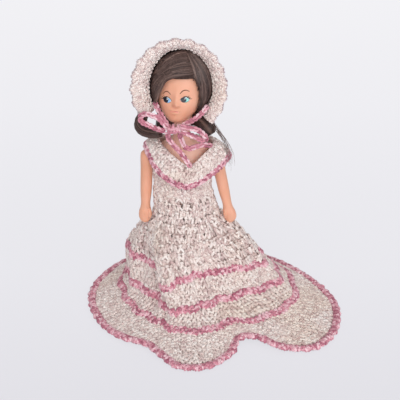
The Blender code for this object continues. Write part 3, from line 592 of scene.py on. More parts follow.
def painted_shade_material(name, dark, light):
    """Make a colour darker than the yarn, as painted shade seen deep between the stitches."""
    n = Nodes(name, 0.95)
    shade = n.ramp(n.noise(900.0, 3.0), ((0.35, dark), (0.7, light)))
    n.bump(n.noise(1500.0, 3.0), 0.6, 0.0003)
    return n.colour(shade)


def skin_material(name, base, blush):
    """Make soft satin vinyl with a faint unevenness."""
    n = Nodes(name, 0.42)
    shade = n.ramp(n.noise(90.0, 2.0), ((0.3, base), (0.75, blush)))
    n.shader.inputs["Subsurface Weight"].default_value = 0.12
    n.shader.inputs["Subsurface Radius"].default_value = (1.0, 0.4, 0.25)
    n.shader.inputs["Subsurface Scale"].default_value = 0.002
    n.bump(n.noise(700.0, 2.0), 0.05, 0.0002)
    return n.colour(shade)


def hair_material(name):
    """Make dark brown nylon hair, each strand of its own shade."""
    n = Nodes(name, 0.38)
    own = n.add("ShaderNodeAttribute", attribute_name="shade").outputs["Fac"]
    stops = ((0.0, (0.040, 0.021, 0.018)), (0.55, (0.105, 0.060, 0.051)), (1.0, (0.23, 0.145, 0.12)))
    shade = n.ramp(own, stops)
    n.shader.inputs["Specular IOR Level"].default_value = 0.55
    return n.colour(shade)


def paint_material(name, colour, roughness=0.25):
    """Make one enamel colour of the painted face, with slight unevenness."""
    n = Nodes(name, roughness)
    lighter = tuple(min(1.0, c * 1.25 + 0.01) for c in colour)
    return n.colour(n.ramp(n.noise(1200.0, 1.0), ((0.3, colour), (0.8, lighter))))


# The skirt's surface

def skirt_rings():
    """Give the skirt's outer side at the waist, down the thigh, at each stripe and at the hem."""
    waist, upper, thigh = [], [], []
    total = len(SKIRT_RIBS)
    for number, rib in enumerate(SKIRT_RIBS):
        on_floor = -atan2(rib[3][1], rib[3][0] - AXIS_X) % (2 * pi)
        angle = -(on_floor + 2 * pi * number / total) / 2
        waist.append((AXIS_X + WAIST_RING[0] * cos(angle), WAIST_RING[1] * sin(angle), WAIST_HEIGHT - 0.3))
        across = AXIS_X + UPPER_SHIFT + UPPER_RING[0] * cos(angle)
        upper.append((across, UPPER_RING[1] * sin(angle), UPPER_RING[2]))
        stripe_reach = sqrt((rib[0][0] - AXIS_X) ** 2 + rib[0][1] ** 2)
        stripe_angle = -(-atan2(rib[0][1], rib[0][0] - AXIS_X) % (2 * pi))
        reach = UPPER_RING[0] + (stripe_reach - UPPER_RING[0]) * THIGH_SPREAD
        turn = angle + (stripe_angle - angle) * THIGH_SPREAD
        thigh.append((AXIS_X + reach * cos(turn), reach * sin(turn), THIGH_HEIGHT))
    second = [(*rib[1], STRIPE_HEIGHTS[1] * sqrt(rib[4] / STRIPE_HEIGHTS[0])) for rib in SKIRT_RIBS]
    rings = [waist, upper, thigh, [(*rib[0], rib[4]) for rib in SKIRT_RIBS], second]
    rings.append([(*rib[2], STRIPE_HEIGHTS[2]) for rib in SKIRT_RIBS])
    rings = [closed_curve(ring, RIB_STEPS) for ring in rings]
    return rings + [hem_outline(2 * YARN_ROW_RADIUS + HEM_GAP)]


def hem_outline(reach):
    """Give the hem's outline, a reach inside the outer edge of its pink row."""
    edge = closed_curve([(*rib[3], HEM_HEIGHT + rib[5]) for rib in SKIRT_RIBS], RIB_STEPS)
    return level_inwards(edge, reach)


def level_inwards(line, reach):
    """Move each point of a closed level line towards its inside."""
    return line + inward_of(line) * np.broadcast_to(reach, len(line))[:, None]


def skirt_cloth():
    """Give the skirt as a cloth, and the row of the grid at each of its rings."""
    rings = skirt_rings()
    ends = [2 * rings[0] - rings[1]] + rings + [2 * rings[-1] - rings[-2]]
    rows, places, ring_rows = [], [], [0]
    cad_rows = (0.0, 4.0, 6.4, 8.5, 10.5, 12.5, 15.0)
    for number, steps in enumerate(RING_STEPS):
        for k in range(steps):
            rows.append(catmull(*ends[number:number + 4], k / steps))
            places.append(cad_rows[number] + (cad_rows[number + 1] - cad_rows[number]) * k / steps)
        ring_rows.append(ring_rows[-1] + steps)
    rows.append(rings[-1])
    places.append(cad_rows[-1])
    turn = np.arctan2(rings[0][:, 1] / WAIST_RING[1], (rings[0][:, 0] - AXIS_X) / WAIST_RING[0])
    grid = []
    for row, place in zip(rows, places):
        strength = GATHER_DEPTH * (0.6 + 0.9 * sin(pi * place / cad_rows[-1])) * (place < cad_rows[-1])
        span = np.linalg.norm(np.roll(row, -3, axis=0) - np.roll(row, 3, axis=0), axis=1)
        room = np.minimum(1.0, span / (2 * CLOTH_THICKNESS))
        moved = level_inwards(row, strength * room * np.cos(GATHER_COUNT * turn))
        moved[:, 2] = np.maximum(moved[:, 2], CLOTH_THICKNESS + 0.1)
        grid.append(moved)
    return Cloth(np.array(grid), True), ring_rows


# Stitches

random = np.random.default_rng(SEED)


def jitter(count, spread):
    """Give small random shifts, the same in every run."""
    return random.normal(0.0, spread, count)


def chain_row(strands, cloth, row, pitch, radius, rise):
    """Lay a chain along a row: short strands that slant one over the next, in two lines."""
    count = max(6, round(cloth.row_length(row) / pitch))
    t = np.linspace(0, 1, 4)
    for side in (-1, 1):
        columns = cloth.along_row(row, count, 0.25 * side)
        rows = np.full(count, float(row))
        across = pitch * (-0.75 + 1.5 * t)
        drop = side * radius * (0.95 - 0.75 * t)
        lift = rise + 0.35 * np.sin(pi * t) * radius
        local = np.stack(np.broadcast_arrays(across, drop, lift), axis=1)[None].repeat(count, axis=0)
        local[:, :, 1] += jitter(count, 0.1)[:, None]
        local[:, :, 2] += jitter(count, 0.08)[:, None]
        points, normals = cloth.lay(rows, columns, local)
        thick = radius * (0.6 + 0.45 * np.sin(pi * (0.1 + 0.8 * t)))
        strands.add(points, normals, thick[None] * (1 + jitter(count, 0.06))[:, None], random.random(count))


def lay_bumps(
    strands, cloth, rows, columns, pitch, height, radius, bulge, rise=0.0, offset=0.0, spread=14.0,
):
    """Lay knotted stitches at their places: two short strands side by side, and one across them."""
    count = len(rows)
    pitch = np.broadcast_to(pitch, count)[:, None]
    height = np.broadcast_to(height, count)[:, None]
    u = np.linspace(-1, 1, 4)[None]
    for lean, across, high, above in BUMP_STRANDS:
        turn = np.radians(lean + random.normal(0.0, spread, count))[:, None]
        half = 0.5 * (height * 0.95 if abs(lean) < 60 else pitch * 0.85)
        x = across * pitch + half * np.sin(turn) * u + jitter(count, 0.12)[:, None]
        y = offset + high * height + half * np.cos(turn) * u + jitter(count, 0.12)[:, None]
        lift = rise + above + bulge * (1 - u ** 2) + jitter(count, 0.12)[:, None]
        points, normals = cloth.lay(rows, columns, np.stack([x, y, lift], axis=2))
        thick = radius * (0.72 + 0.34 * (1 - u ** 2)) * (1 + jitter(count, 0.09))[:, None]
        strands.add(points, normals, thick, random.random(count))


def bump_row(strands, cloth, row, pitch, height, radius, bulge=0.4, rise=0.0, offset=0.0):
    """Lay one row of knotted stitches along a row of the cloth."""
    count = max(3, round(cloth.row_length(row) / pitch))
    columns = cloth.along_row(row, count, random.random())
    rows = np.full(count, float(row))
    lay_bumps(strands, cloth, rows, columns, pitch, height, radius, bulge, rise, offset)


def stretched_row(strands, cloth, top, low, pitch, radius):
    """Lay one row of knotted stitches that reach from one grid row to another."""
    middle = (top + low) / 2
    count = max(3, round(cloth.row_length(middle) / pitch))
    columns = cloth.along_row(middle, count, random.random())
    rows = np.full(count, float(middle))
    height = np.clip(np.linalg.norm(cloth.read(cloth.down, rows, columns), axis=1) * (low - top), 1.2, 4.6)
    lay_bumps(strands, cloth, rows, columns, pitch, height * 1.08, radius, 0.4)


def cluster_row(strands, cloth, top, low, gap, radius):
    """Lay one row of gathered stitches: a cluster on each gather, and gaps between them."""
    width = cloth.grid.shape[1]
    middle = (top + low) / 2
    line = cloth.row_length(middle) / GATHER_COUNT
    posts = max(2, round((line - gap) / POST_PITCH))
    share = (line - gap) / line
    places = (np.arange(posts) + 0.5) / posts - 0.5
    columns = (np.arange(GATHER_COUNT)[:, None] + 0.5 + share * places[None]) * width / GATHER_COUNT
    columns = columns.reshape(-1)
    rows = middle + 0.3 * np.sin(3.0 * columns) + jitter(len(columns), 0.2)
    height = np.clip(np.linalg.norm(cloth.read(cloth.down, rows, columns), axis=1) * (low - top), 1.5, 4.6)
    ridge = 0.45 * np.tile(1 - (2 * np.abs(places)) ** 2, GATHER_COUNT)
    across = np.linalg.norm(cloth.read(cloth.across, rows, columns), axis=1)
    pitch = np.clip(across * width / GATHER_COUNT * share / posts, 1.2, 3.2)
    for raised in (False, True):
        chosen = (ridge > 0.3) == raised
        lay_bumps(
            strands, cloth, rows[chosen], columns[chosen], pitch[chosen], height[chosen] * 1.1, radius, 0.4,
            0.6 if raised else 0.0, 0.0, 15.0,
        )


def eyelet_mask(cloth, rows):
    """Mark the faces of the grid that are holes of the openwork."""
    height, width = cloth.grid.shape[:2]
    holes = np.zeros((height - 1, width), bool)
    half = max(1, round(width / GATHER_COUNT * 0.09))
    for row in rows:
        for gather in range(GATHER_COUNT):
            middle = round(width * gather / GATHER_COUNT)
            for k in range(-half, half + 1):
                holes[row:row + 2, (middle + k) % width] = True
    return holes


# The dress

def dress_skirt(paints):
    """Make the skirt: base cloth, tiers of clusters, three pink rows and the pink hem."""
    cloth, rings = skirt_cloth()
    holes = eyelet_mask(cloth, EYELET_ROWS)
    base = shell_object("skirt_cloth", cloth, 0.3, 0.9, paints["cream_painted_shade"], holes)
    finish_piece(base, "body", "cream_yarn", "skirt")
    edges = [0, rings[3], rings[4], rings[5], rings[6]]
    names = ("skirt_yarn_upper", "skirt_yarn_second", "skirt_yarn_third", "skirt_yarn_flounce")
    for tier, name in enumerate(names):
        strands = Strands(name, 4)
        top = edges[tier] + (0.4 if tier == 0 else 0.9)
        low = edges[tier + 1] - (0.9 if tier < 3 else 0.2)
        count = TIER_ROWS[tier]
        for k in range(count):
            a = top + (low - top) * k / count
            b = top + (low - top) * (k + 1) / count
            if tier == 0:
                gap = OPENWORK_GAP if k in OPEN_TIER_ROWS else 0.1
                cluster_row(strands, cloth, a, b, gap, YARN_RADIUS * 1.45)
            else:
                stretched_row(strands, cloth, a, b, STITCH_PITCH[tier], YARN_RADIUS * 1.4)
        made = strands.make(paints["cream"])
        finish_piece(made, "body", "cream_yarn")
    for name, ring in (("upper", 3), ("middle", 4), ("lower", 5)):
        strands = Strands("pink_yarn_" + name, 5)
        for offset in (-0.95, 0.95):
            bump_row(strands, cloth, rings[ring], 2.9, 2.7, PINK_YARN_RADIUS * 1.15, 0.6, 0.25, offset)
        made = strands.make(paints["pink"])
        finish_piece(made, "body", "pink_yarn", "pink_row_" + name)
    hem = dress_hem(paints)


def dress_hem(paints):
    """Make the pink edging of the hem: a thick roll of knotted stitches round a core."""
    strands = Strands("hem_yarn", 5)
    edge = hem_outline(YARN_ROW_RADIUS)
    length = line_length(np.vstack([edge, edge[:1]]))
    count = round(length / 1.5)
    edge = walk(np.vstack([edge, edge[:1]]), count + 1)[0][:-1]
    inward = inward_of(edge)
    up = np.array([0.0, 0.0, 1.0])
    scallop = 0.6 * np.cos(2 * pi * round(length / SCALLOP_LENGTH) * np.arange(count) / count)[:, None]
    grid = []
    for turn in np.radians((-50, -15, 20, 55, 90, 125, 165)):
        reach = YARN_ROW_RADIUS - 0.3 + scallop * max(0.0, cos(turn)) + 1.0 * max(0.0, -cos(turn))
        high = (YARN_ROW_RADIUS - 0.4) * sin(turn) + 0.15
        points = edge - inward * reach * cos(turn) + up * high
        points[:, 2] = np.maximum(points[:, 2], PINK_YARN_RADIUS)
        grid.append(points)
    roll = Cloth(np.array(grid)[:, ::-1][::-1], True)
    for row in (0.6, 2.2, 3.8, 5.4):
        bump_row(strands, roll, row, 3.1, 2.2, PINK_YARN_RADIUS * 1.2, 0.35, 0.0)
    core = np.vstack([edge, edge[:1]])[None]
    strands.add(core, np.broadcast_to(up, core.shape), YARN_ROW_RADIUS - 0.7, np.array([0.3]))
    made = strands.make(paints["pink"])
    finish_piece(made, "body", "pink_yarn", "hem_row")
    return made


def inward_of(line):
    """Give the level direction inwards at each point of a closed line."""
    along = np.roll(line, -1, axis=0) - np.roll(line, 1, axis=0)
    return unit(np.stack([along[:, 1], -along[:, 0], np.zeros(len(line))], axis=1))


def finish_piece(made, body, slot, *nodes):
    """Ride a piece on its body, and hide the nodes that it stands for. The slot is not used."""
    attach(made, body)
    if nodes:
        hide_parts(*nodes)


def bodice_cloth():
    """Give the bodice's outer side."""
    top = SHOULDER_HEIGHT - 4.2
    grid = []
    for share in np.linspace(1, 0, 14):
        angles = -2 * pi * np.arange(BODICE_STEPS) / BODICE_STEPS
        z = WAIST_HEIGHT + (top - WAIST_HEIGHT) * share
        wide = WAIST_RING[0] + 0.6 * share
        deep = WAIST_RING[1] + 0.6 * share
        x = AXIS_X + wide * np.cos(angles)
        y = -0.6 * share + deep * np.sin(angles)
        grid.append(np.stack([x, y, np.full(BODICE_STEPS, z)], axis=1))
    return Cloth(np.array(grid), True)


def dress_bodice(paints):
    """Make the bodice: base cloth, rows of knotted stitches, and two more over the waist."""
    cloth = bodice_cloth()
    base = shell_object("bodice_cloth", cloth, 0.4, 0.8, paints["cream_painted_shade"])
    finish_piece(base, "body", "cream_yarn", "bodice")
    strands = Strands("bodice_yarn", 4)
    for k in range(BODICE_ROWS):
        row = 0.4 + 12.4 * (k + 0.5) / BODICE_ROWS
        bump_row(strands, cloth, row, POST_PITCH, 2.7, YARN_RADIUS * 1.35, 0.4)
    angles = -2 * pi * np.arange(BODICE_STEPS) / BODICE_STEPS
    ring = np.stack([np.cos(angles), np.sin(angles), np.zeros(BODICE_STEPS)], axis=1)
    low = ring * (WAIST_RING[0] + 0.9, WAIST_RING[1] + 0.9, 0) + (AXIS_X, 0, WAIST_HEIGHT - 2.4)
    high = ring * (WAIST_RING[0] + 0.1, WAIST_RING[1] + 0.1, 0) + (AXIS_X, 0, WAIST_HEIGHT + 2.4)
    waist = Cloth(np.stack([high, (high + low) / 2, low]), True)
    for row in (0.75, 1.25):
        bump_row(strands, waist, row, POST_PITCH, 2.8, YARN_RADIUS * 1.35, 0.35, 0.0)
    made = strands.make(paints["cream"])
    finish_piece(made, "body", "cream_yarn")


def collar_cloth():
    """Give the collar's outer side, as a closed grid from the neck to the outer edge."""
    steps = 12
    shift = np.array([AXIS_X, 0, SHOULDER_HEIGHT])
    neck = closed_curve(COLLAR_NECK_EDGE, steps) + shift
    outer = closed_curve(COLLAR_OUTER_EDGE, steps) + shift
    middle = shift - np.array([0, 0, COLLAR_CENTRE_DROP])
    grid = []
    for share in np.linspace(0, 1, 11):
        points = neck + (outer - neck) * share
        points = points + unit(points - middle) * COLLAR_BULGE * 4 * share * (1 - share)
        grid.append(points[::-1])
    return Cloth(np.array(grid), True)


def dress_collar(paints):
    """Make the collar in two halves that meet at the middle."""
    cloth = collar_cloth()
    width = cloth.grid.shape[1]
    aside = np.abs(cloth.grid[:, :, 0] - AXIS_X).sum(axis=0)
    start_at = np.argmin(aside + 1000 * (cloth.grid[0, :, 1] > 0))
    back_at = np.argmin(aside + 1000 * (cloth.grid[0, :, 1] < 0))
    runs = {"left": (start_at, back_at), "right": (back_at, start_at)}
    for side, (first, last) in runs.items():
        columns = np.arange(first, last + 1 if last > first else last + width + 1) % width
        half = Cloth(cloth.grid[:, columns], False)
        base = shell_object("collar_cloth_" + side, half, 0.4, 0.8, paints["cream_painted_shade"])
        strands = Strands("collar_yarn_" + side, 4)
        for k in range(COLLAR_ROWS):
            row = 0.5 + 9.2 * (k + 0.5) / COLLAR_ROWS
            bump_row(strands, half, row, 2.9, 2.7, YARN_RADIUS * 1.4, 0.5)
        chain_row(strands, half, 0.25, CHAIN_PITCH, YARN_RADIUS, 0.1)
        yarn = strands.make(paints["cream"])
        edge = Strands("collar_pink_" + side, 5)
        beyond = unit(half.grid[-1] - half.grid[-2])
        rim = Cloth(np.stack([half.grid[-1] - beyond * 0.3, half.grid[-1] + beyond * 3.3]), False)
        bump_row(edge, rim, 0.2, 2.7, 2.2, PINK_YARN_RADIUS * 1.2, 0.5, 0.1)
        bump_row(edge, rim, 0.75, 2.7, 2.2, PINK_YARN_RADIUS * 1.2, 0.4, -0.2)
        bump_row(edge, rim, 0.6, 2.8, 2.4, PINK_YARN_RADIUS, -0.4, -1.2)
        pink = edge.make(paints["pink"])
        pieces = ((base, "cream_yarn"), (yarn, "cream_yarn"), (pink, "pink_yarn"))
        for made, slot in pieces:
            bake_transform(made)
        if side == "left":
            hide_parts("collar", "collar_row")


def to_frame(point):
    """Turn a plan point in millimetres into a frame point in metres."""
    return tuple((a - b) * MM for a, b in zip(point, PLAN_ORIGIN))


# The bonnet and its bow

def bonnet_cloth():
    """Give the bonnet's outer side, crown to brim edge, and the row where the brim starts."""
    spare = HAIR_LIFT + HAIR_THICKNESS + CLOTH_GAP + CLOTH_THICKNESS
    snug_width, snug_height = HEAD_HALF_SIZES[0] + spare, HEAD_HALF_SIZES[2] + spare
    snug_depth = HEAD_HALF_SIZES[1] + spare + 1.4
    profile = []
    for angle in np.radians(np.linspace(5, 75, 15)):
        dome = sin(angle) ** 0.85
        profile.append((0.5 - snug_depth * cos(angle), snug_width * dome, snug_height * dome))
    brim_at = len(profile)
    for share in np.linspace(0, 1, 11):
        reach = BRIM_REACH + BRIM_CURVE * sin(share * pi / 2)
        wide = snug_width + (BRIM_HALF_WIDTH - snug_width) * share
        profile.append((reach, wide, snug_height + (BRIM_HALF_HEIGHT + BRIM_EXTRA - snug_height) * share))
    middle = np.array([AXIS_X - 0.3, HEAD_CENTRE[1], HEAD_CENTRE[2]])
    tilt = np.array(Matrix.Rotation(-radians(BONNET_TILT), 3, "X"))
    shares = np.arange(BONNET_STEPS + 1) / BONNET_STEPS
    angles = radians(BONNET_START) + radians(BONNET_SWEEP) * shares
    grid = []
    for number, (reach, wide, high) in enumerate(profile):
        flare = max(0.0, (number - brim_at) / 10)
        wave = BRIM_WAVE * flare * np.cos(2 * pi * BRIM_WAVES * shares)
        across = (wide + wave) * np.cos(angles) + BRIM_SHIFT * flare
        place = np.stack([across, np.full(len(shares), -reach), (high + wave) * np.sin(angles)], axis=1)
        grid.append(place @ tilt.T + middle)
    return Cloth(np.array(grid), False), brim_at


def dress_bonnet(paints):
    """Make the bonnet: base cloth, fine stitches outside and inside the brim, and its greyish mauve edge,
    partly painted shade.
    """
    cloth, brim_at = bonnet_cloth()
    base = shell_object("bonnet_cloth", cloth, 0.5, 0.7, paints["cream_painted_shade"])
    finish_piece(base, "head", "cream_yarn", "bonnet")
    outside = Strands("bonnet_yarn", 4)
    last = cloth.grid.shape[0] - 1
    total = cloth.height_between(0, last)
    rows = round(total / 2.3)
    for k in range(rows):
        bump_row(outside, cloth, last * (k + 0.5) / rows, 2.6, 2.3, YARN_RADIUS * 1.15, 0.4)
    outer = outside.make(paints["cream"])
    finish_piece(outer, "head", "cream_yarn")
    inside = Strands("bonnet_brim_yarn", 4)
    lining = Cloth((cloth.grid - cloth.normal * CLOTH_THICKNESS)[:, ::-1], False)
    first = brim_at - 2.6
    brim_rows = round(lining.height_between(first, last) / FINE_HEIGHT)
    for k in range(brim_rows):
        row = first + (last - first) * (k + 0.5) / brim_rows
        bump_row(inside, lining, row, FINE_PITCH, FINE_HEIGHT, YARN_RADIUS * 1.15, 0.4)
    inner = inside.make(paints["cream"])
    finish_piece(inner, "head", "cream_yarn")
    edge = Strands("bonnet_edge_yarn", 4)
    mid = (cloth.grid + lining.grid[:, ::-1]) / 2
    beyond = unit(mid[-1] - mid[-2])
    rim = Cloth(np.stack([mid[-1] - beyond * 1.2, mid[-1] + beyond * 0.8]), False)
    bump_row(edge, rim, 0.5, 2.4, 1.9, YARN_RADIUS, 0.6)
    bump_row(edge, Cloth(rim.grid[:, ::-1], False), 0.5, 2.4, 1.9, YARN_RADIUS, 0.6)
    rim_made = edge.make(paints["mauve"])
    finish_piece(rim_made, "head", "pink_yarn")


def chain_along(strands, line, pitch, radius, width, face):
    """Lay a crocheted chain along a line: V links on the face side, and a core under them."""
    length = line_length(line)
    count = max(4, round(length / pitch))
    at, along = walk(line, count)
    face = np.array(face, float)
    out = unit(face[None] - along * (along @ face)[:, None])
    side = np.cross(along, out)
    t = np.linspace(0, 1, 6)
    for sign in (-1, 1):
        lean = sign * width * (0.04 + 0.36 * np.sin(pi * np.minimum(1, 0.06 + t * 0.9)))
        slide = pitch * (-0.5 + 1.6 * t)
        lift = radius * (0.2 + 0.7 * np.sin(pi * t * 0.8) + 0.4 * t)
        points = at[:, None] + side[:, None] * lean[None, :, None] + along[:, None] * slide[None, :, None]
        points = points + out[:, None] * lift[None, :, None] + jitter((count, 1, 3), 0.05)
        normals = np.repeat(out[:, None], len(t), axis=1)
        thick = radius * (0.62 + 0.45 * np.sin(pi * t))
        strands.add(points, normals, thick[None] * (1 + jitter(count, 0.05))[:, None], random.random(count))
    normals = unit(out + 0.01)
    strands.add(at[None], normals[None], radius * 1.2, np.array([0.4]))


def dress_bow(paints):
    """Make the bow: ties, loops, tails and knot of crocheted chain."""
    shift = np.array([AXIS_X, 0, HEAD_CENTRE[2]])
    for name, route in BOW_ROUTES.items():
        strands = Strands(name + "_yarn", 5)
        line = open_curve(route, 8) + shift
        chain_along(strands, line, 2.2, PINK_YARN_RADIUS * 0.9, 2.4, (0, -1, 0.35))
        made = strands.make(paints["pink"])
        if name.startswith("bow_tail"):
            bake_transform(made)
            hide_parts(name)
        else:
            finish_piece(made, "head", "pink_yarn", name)
    dress_knot(paints)


def dress_knot(paints):
    """Make the knot: wraps of chain round the middle of the bow, and the chain across it."""
    strands = Strands("bow_knot_yarn", 5)
    centre = np.array(KNOT_CENTRE) + np.array([AXIS_X, 0, HEAD_CENTRE[2]])
    t = np.linspace(0, 1, 13)
    turn = 2 * pi * t
    wraps = (
        (-2.6, 2.0, 1.7, 0.5), (-1.2, 2.5, 2.2, 0.8), (0.3, 2.6, 2.3, -0.6),
        (1.7, 2.4, 2.1, 0.7), (3.0, 1.9, 1.6, -0.4),
    )
    for number, (across, wide, high, slant) in enumerate(wraps):
        x = across + slant * np.cos(turn)
        line = np.stack([x, -wide * np.sin(turn), high * np.cos(turn)], axis=1) + centre
        normals = unit(np.stack([0 * turn, -np.sin(turn), np.cos(turn)], axis=1))
        strands.add(line[None], normals[None], PINK_YARN_RADIUS * 1.05, np.array([0.25 + 0.15 * number]))
    for high in (-1.0, 0.9):
        u = np.linspace(-1, 1, 9)
        line = np.stack([3.6 * u, -2.5 + 0.5 * u ** 2, high + 0.4 * np.sin(4 * u)], axis=1) + centre
        normals = np.tile(np.array([0.0, -1.0, 0.0]), (9, 1))
        strands.add(line[None], normals[None], PINK_YARN_RADIUS * 0.95, np.array([0.5 + 0.2 * high]))
    made = strands.make(paints["pink"])
    finish_piece(made, "head", "pink_yarn", "bow_knot")


# The doll's head, arms and painted face

def bump_at(x, z, at_x, at_z, wide, high):
    """Give the height of a soft bump of height one."""
    return np.exp(-((x - at_x) / wide) ** 2 - ((z - at_z) / high) ** 2)


def head_points(ways):
    """Shape directions from the head's centre into points of the face."""
    low = np.maximum(0.0, -ways[:, 2])
    front = np.maximum(0.0, -ways[:, 1])
    reach = np.maximum(np.hypot(ways[:, 0], ways[:, 1]), 0.001)
    ahead = front / reach
    full = np.where(low > 0, reach ** -JAW_FULLNESS, 1.0)
    x = HEAD_HALF_SIZES[0] * ways[:, 0] * (1 + (full - 1) * ahead) * (1 - 0.2 * low ** 2) - JAW_SHIFT * low
    y = HEAD_HALF_SIZES[1] * ways[:, 1] * np.where(ways[:, 1] < 0, 0.9 * full, 1.0 - 0.2 * low)
    z = HEAD_HALF_SIZES[2] * ways[:, 2]
    relief = 2.3 * bump_at(x, z, NOSE[0], NOSE[1], 1.6, 1.9)
    relief = relief + 0.9 * bump_at(x, z, NOSE[0], NOSE[1] + 3.4, 1.4, 3.3)
    for side in (-1, 1):
        relief += 0.45 * bump_at(x, z, NOSE[0] + side * 1.5, NOSE[1] - 0.7, 0.9, 0.9)
        relief += 0.9 * bump_at(x, z, side * 6.5 - 0.8, -8.8, 4.0, 4.5)
        relief -= 0.8 * bump_at(x, z, side * 5.0 - 0.8, -3.2, 3.0, 2.0)
    relief += 0.75 * bump_at(x, z, MOUTH[0], MOUTH[1] + 0.75, 2.6, 0.7)
    relief += 0.85 * bump_at(x, z, MOUTH[0], MOUTH[1] - 0.95, 2.2, 0.8)
    relief -= 0.45 * bump_at(x, z, MOUTH[0], MOUTH[1] - 0.1, 2.8, 0.35)
    relief += 1.4 * bump_at(x, z, *CHIN, 4.0, 2.8)
    y = y - relief * front - JAW_REACH * low ** 2 * ahead
    ear = bump_at(ways[:, 1] * HEAD_HALF_SIZES[1], z, 1.0, -5.0, 2.4, 3.4)
    x = x + np.sign(x) * 0.6 * ear * np.abs(ways[:, 0])
    return np.stack([x, y, z], axis=1)


# Places on the face, across and up from the head's centre.
NOSE = (-0.5, -6.4)
MOUTH = (-1.6, -11.0)
CHIN = (-1.4, -16.6)
EYES = {"left": (-5.9, -4.8), "right": (4.15, -4.05)}
EYE_HALF_WIDTH = 2.45
EYE_HALF_HEIGHT = 1.5
GLANCE = (-0.75, -0.05)


def head_directions(around, down):
    """Give directions over a sphere, in rings from the top."""
    a = pi * np.arange(down + 1) / down
    b = 2 * pi * np.arange(around) / around
    ways = np.stack([
        np.sin(a)[:, None] * np.sin(b)[None], -np.sin(a)[:, None] * np.cos(b)[None],
        np.cos(a)[:, None] * np.ones(around)[None],
    ], axis=2)
    return ways


def face_turn():
    """Give the turn of the head about its upright axis."""
    return np.array(Matrix.Rotation(radians(FACE_TURN), 3, "Z"))


def make_head(paints):
    """Make the vinyl head with its face in relief."""
    ways = head_directions(160, 110)
    rows, around = ways.shape[:2]
    points = head_points(ways.reshape(-1, 3)) @ face_turn().T + np.array(HEAD_CENTRE)
    made = mesh_object("doll_head", points, [grid_faces(rows, around, True)], paints["skin"])
    weld(made)
    finish_piece(made, "head", "vinyl_skin", "head")
    return made


def weld(made):
    """Join points that lie on each other, and face the surface out."""
    shell = bmesh.new()
    shell.from_mesh(made.data)
    bmesh.ops.remove_doubles(shell, verts=shell.verts, dist=0.00001)
    bmesh.ops.recalc_face_normals(shell, faces=shell.faces)
    shell.to_mesh(made.data)
    shell.free()
    made.data.shade_smooth()


class FacePaint:
    """Lay flat painted shapes on the head's surface."""

    def __init__(self, head):
        graph = bpy.context.evaluated_depsgraph_get()
        self.tree = BVHTree.FromObject(head, graph)
        self.turn = face_turn()
        self.points = []
        self.faces = []
        self.slots = []

    def on_head(self, x, z, lift):
        """Give the plan point over the face at a place across and up."""
        local = np.array([x, -40.0, z])
        start = self.turn @ local + np.array(HEAD_CENTRE)
        way = self.turn @ np.array([0.0, 1.0, 0.0])
        place, normal, _, _ = self.tree.ray_cast(Vector(to_frame(start)), Vector(way))
        hit = np.array(place) / MM + np.array(PLAN_ORIGIN)
        return hit + np.array(normal) * lift

    def patch(self, outline, slot, lift, rings=4):
        """Lay a filled shape: rings of points from its middle to its outline."""
        outline = np.array(outline, float)
        middle = outline.mean(axis=0)
        count = len(outline)
        top, low = [], []
        for share in np.linspace(0.12, 1.0, rings):
            for x, z in middle + (outline - middle) * share:
                top.append(self.on_head(x, z, lift))
                low.append(self.on_head(x, z, -0.08))
        first = sum(len(p) for p in self.points)
        self.points.append(np.array(top))
        self.points.append(np.array(low))
        for level in range(rings - 1):
            for k in range(count):
                a = first + level * count + k
                b = first + level * count + (k + 1) % count
                self.faces.append((a, b, b + count, a + count))
                self.slots.append(slot)
        under = first + rings * count
        for k in range(count):
            a = first + (rings - 1) * count + k
            b = first + (rings - 1) * count + (k + 1) % count
            self.faces.append((a, b, b + rings * count, a + rings * count))
            self.slots.append(slot)
        for level in range(rings - 1):
            for k in range(count):
                a = under + level * count + k
                b = under + level * count + (k + 1) % count
                self.faces.append((a + count, b + count, b, a))
                self.slots.append(slot)
        self.cap(first, count, slot, False)
        self.cap(under, count, slot, True)

    def cap(self, first, count, slot, flip):
        """Close the middle of a patch with a fan of triangles."""
        ring = [first + k for k in range(count)]
        if flip:
            ring.reverse()
        for k in range(1, count - 1):
            self.faces.append((ring[0], ring[k + 1], ring[k]))
            self.slots.append(slot)

    def stroke(self, line, widths, slot, lift):
        """Lay a brush stroke along a line, as wide as widths say."""
        line = np.array(line, float)
        along = unit(np.gradient(line, axis=0))
        side = np.stack([-along[:, 1], along[:, 0]], axis=1)
        widths = np.array(widths)[:, None] / 2
        self.ribbon(line + side * widths, line - side * widths, slot, lift)

    def ribbon(self, upper, lower, slot, lift):
        """Join two edges into a thin closed strip on the face."""
        first = sum(len(p) for p in self.points)
        count = len(upper)
        layers = []
        for edge, rise in ((upper, lift), (lower, lift), (upper, -0.08), (lower, -0.08)):
            layers.append(np.array([self.on_head(x, z, rise) for x, z in edge]))
        self.points.extend(layers)
        a, b, c, d = (first + k * count for k in range(4))
        for k in range(count - 1):
            for near, far in ((a, b), (b, d), (d, c), (c, a)):
                self.faces.append((near + k, near + k + 1, far + k + 1, far + k))
                self.slots.append(slot)
        for k, flip in ((0, False), (count - 1, True)):
            face = (a + k, b + k, d + k, c + k)
            self.faces.append(face[::-1] if flip else face)
            self.slots.append(slot)

    def make(self, name, materials):
        """Make the painted shapes as one mesh with a material for each colour."""
        data = bpy.data.meshes.new(name)
        points = (np.concatenate(self.points) - np.array(PLAN_ORIGIN)) * MM
        data.from_pydata(points.tolist(), [], self.faces)
        for material in materials:
            data.materials.append(material)
        data.polygons.foreach_set("material_index", self.slots)
        made = add_object(name, data)
        shell = bmesh.new()
        shell.from_mesh(data)
        bmesh.ops.recalc_face_normals(shell, faces=shell.faces)
        shell.to_mesh(data)
        shell.free()
        data.shade_smooth()
        return made


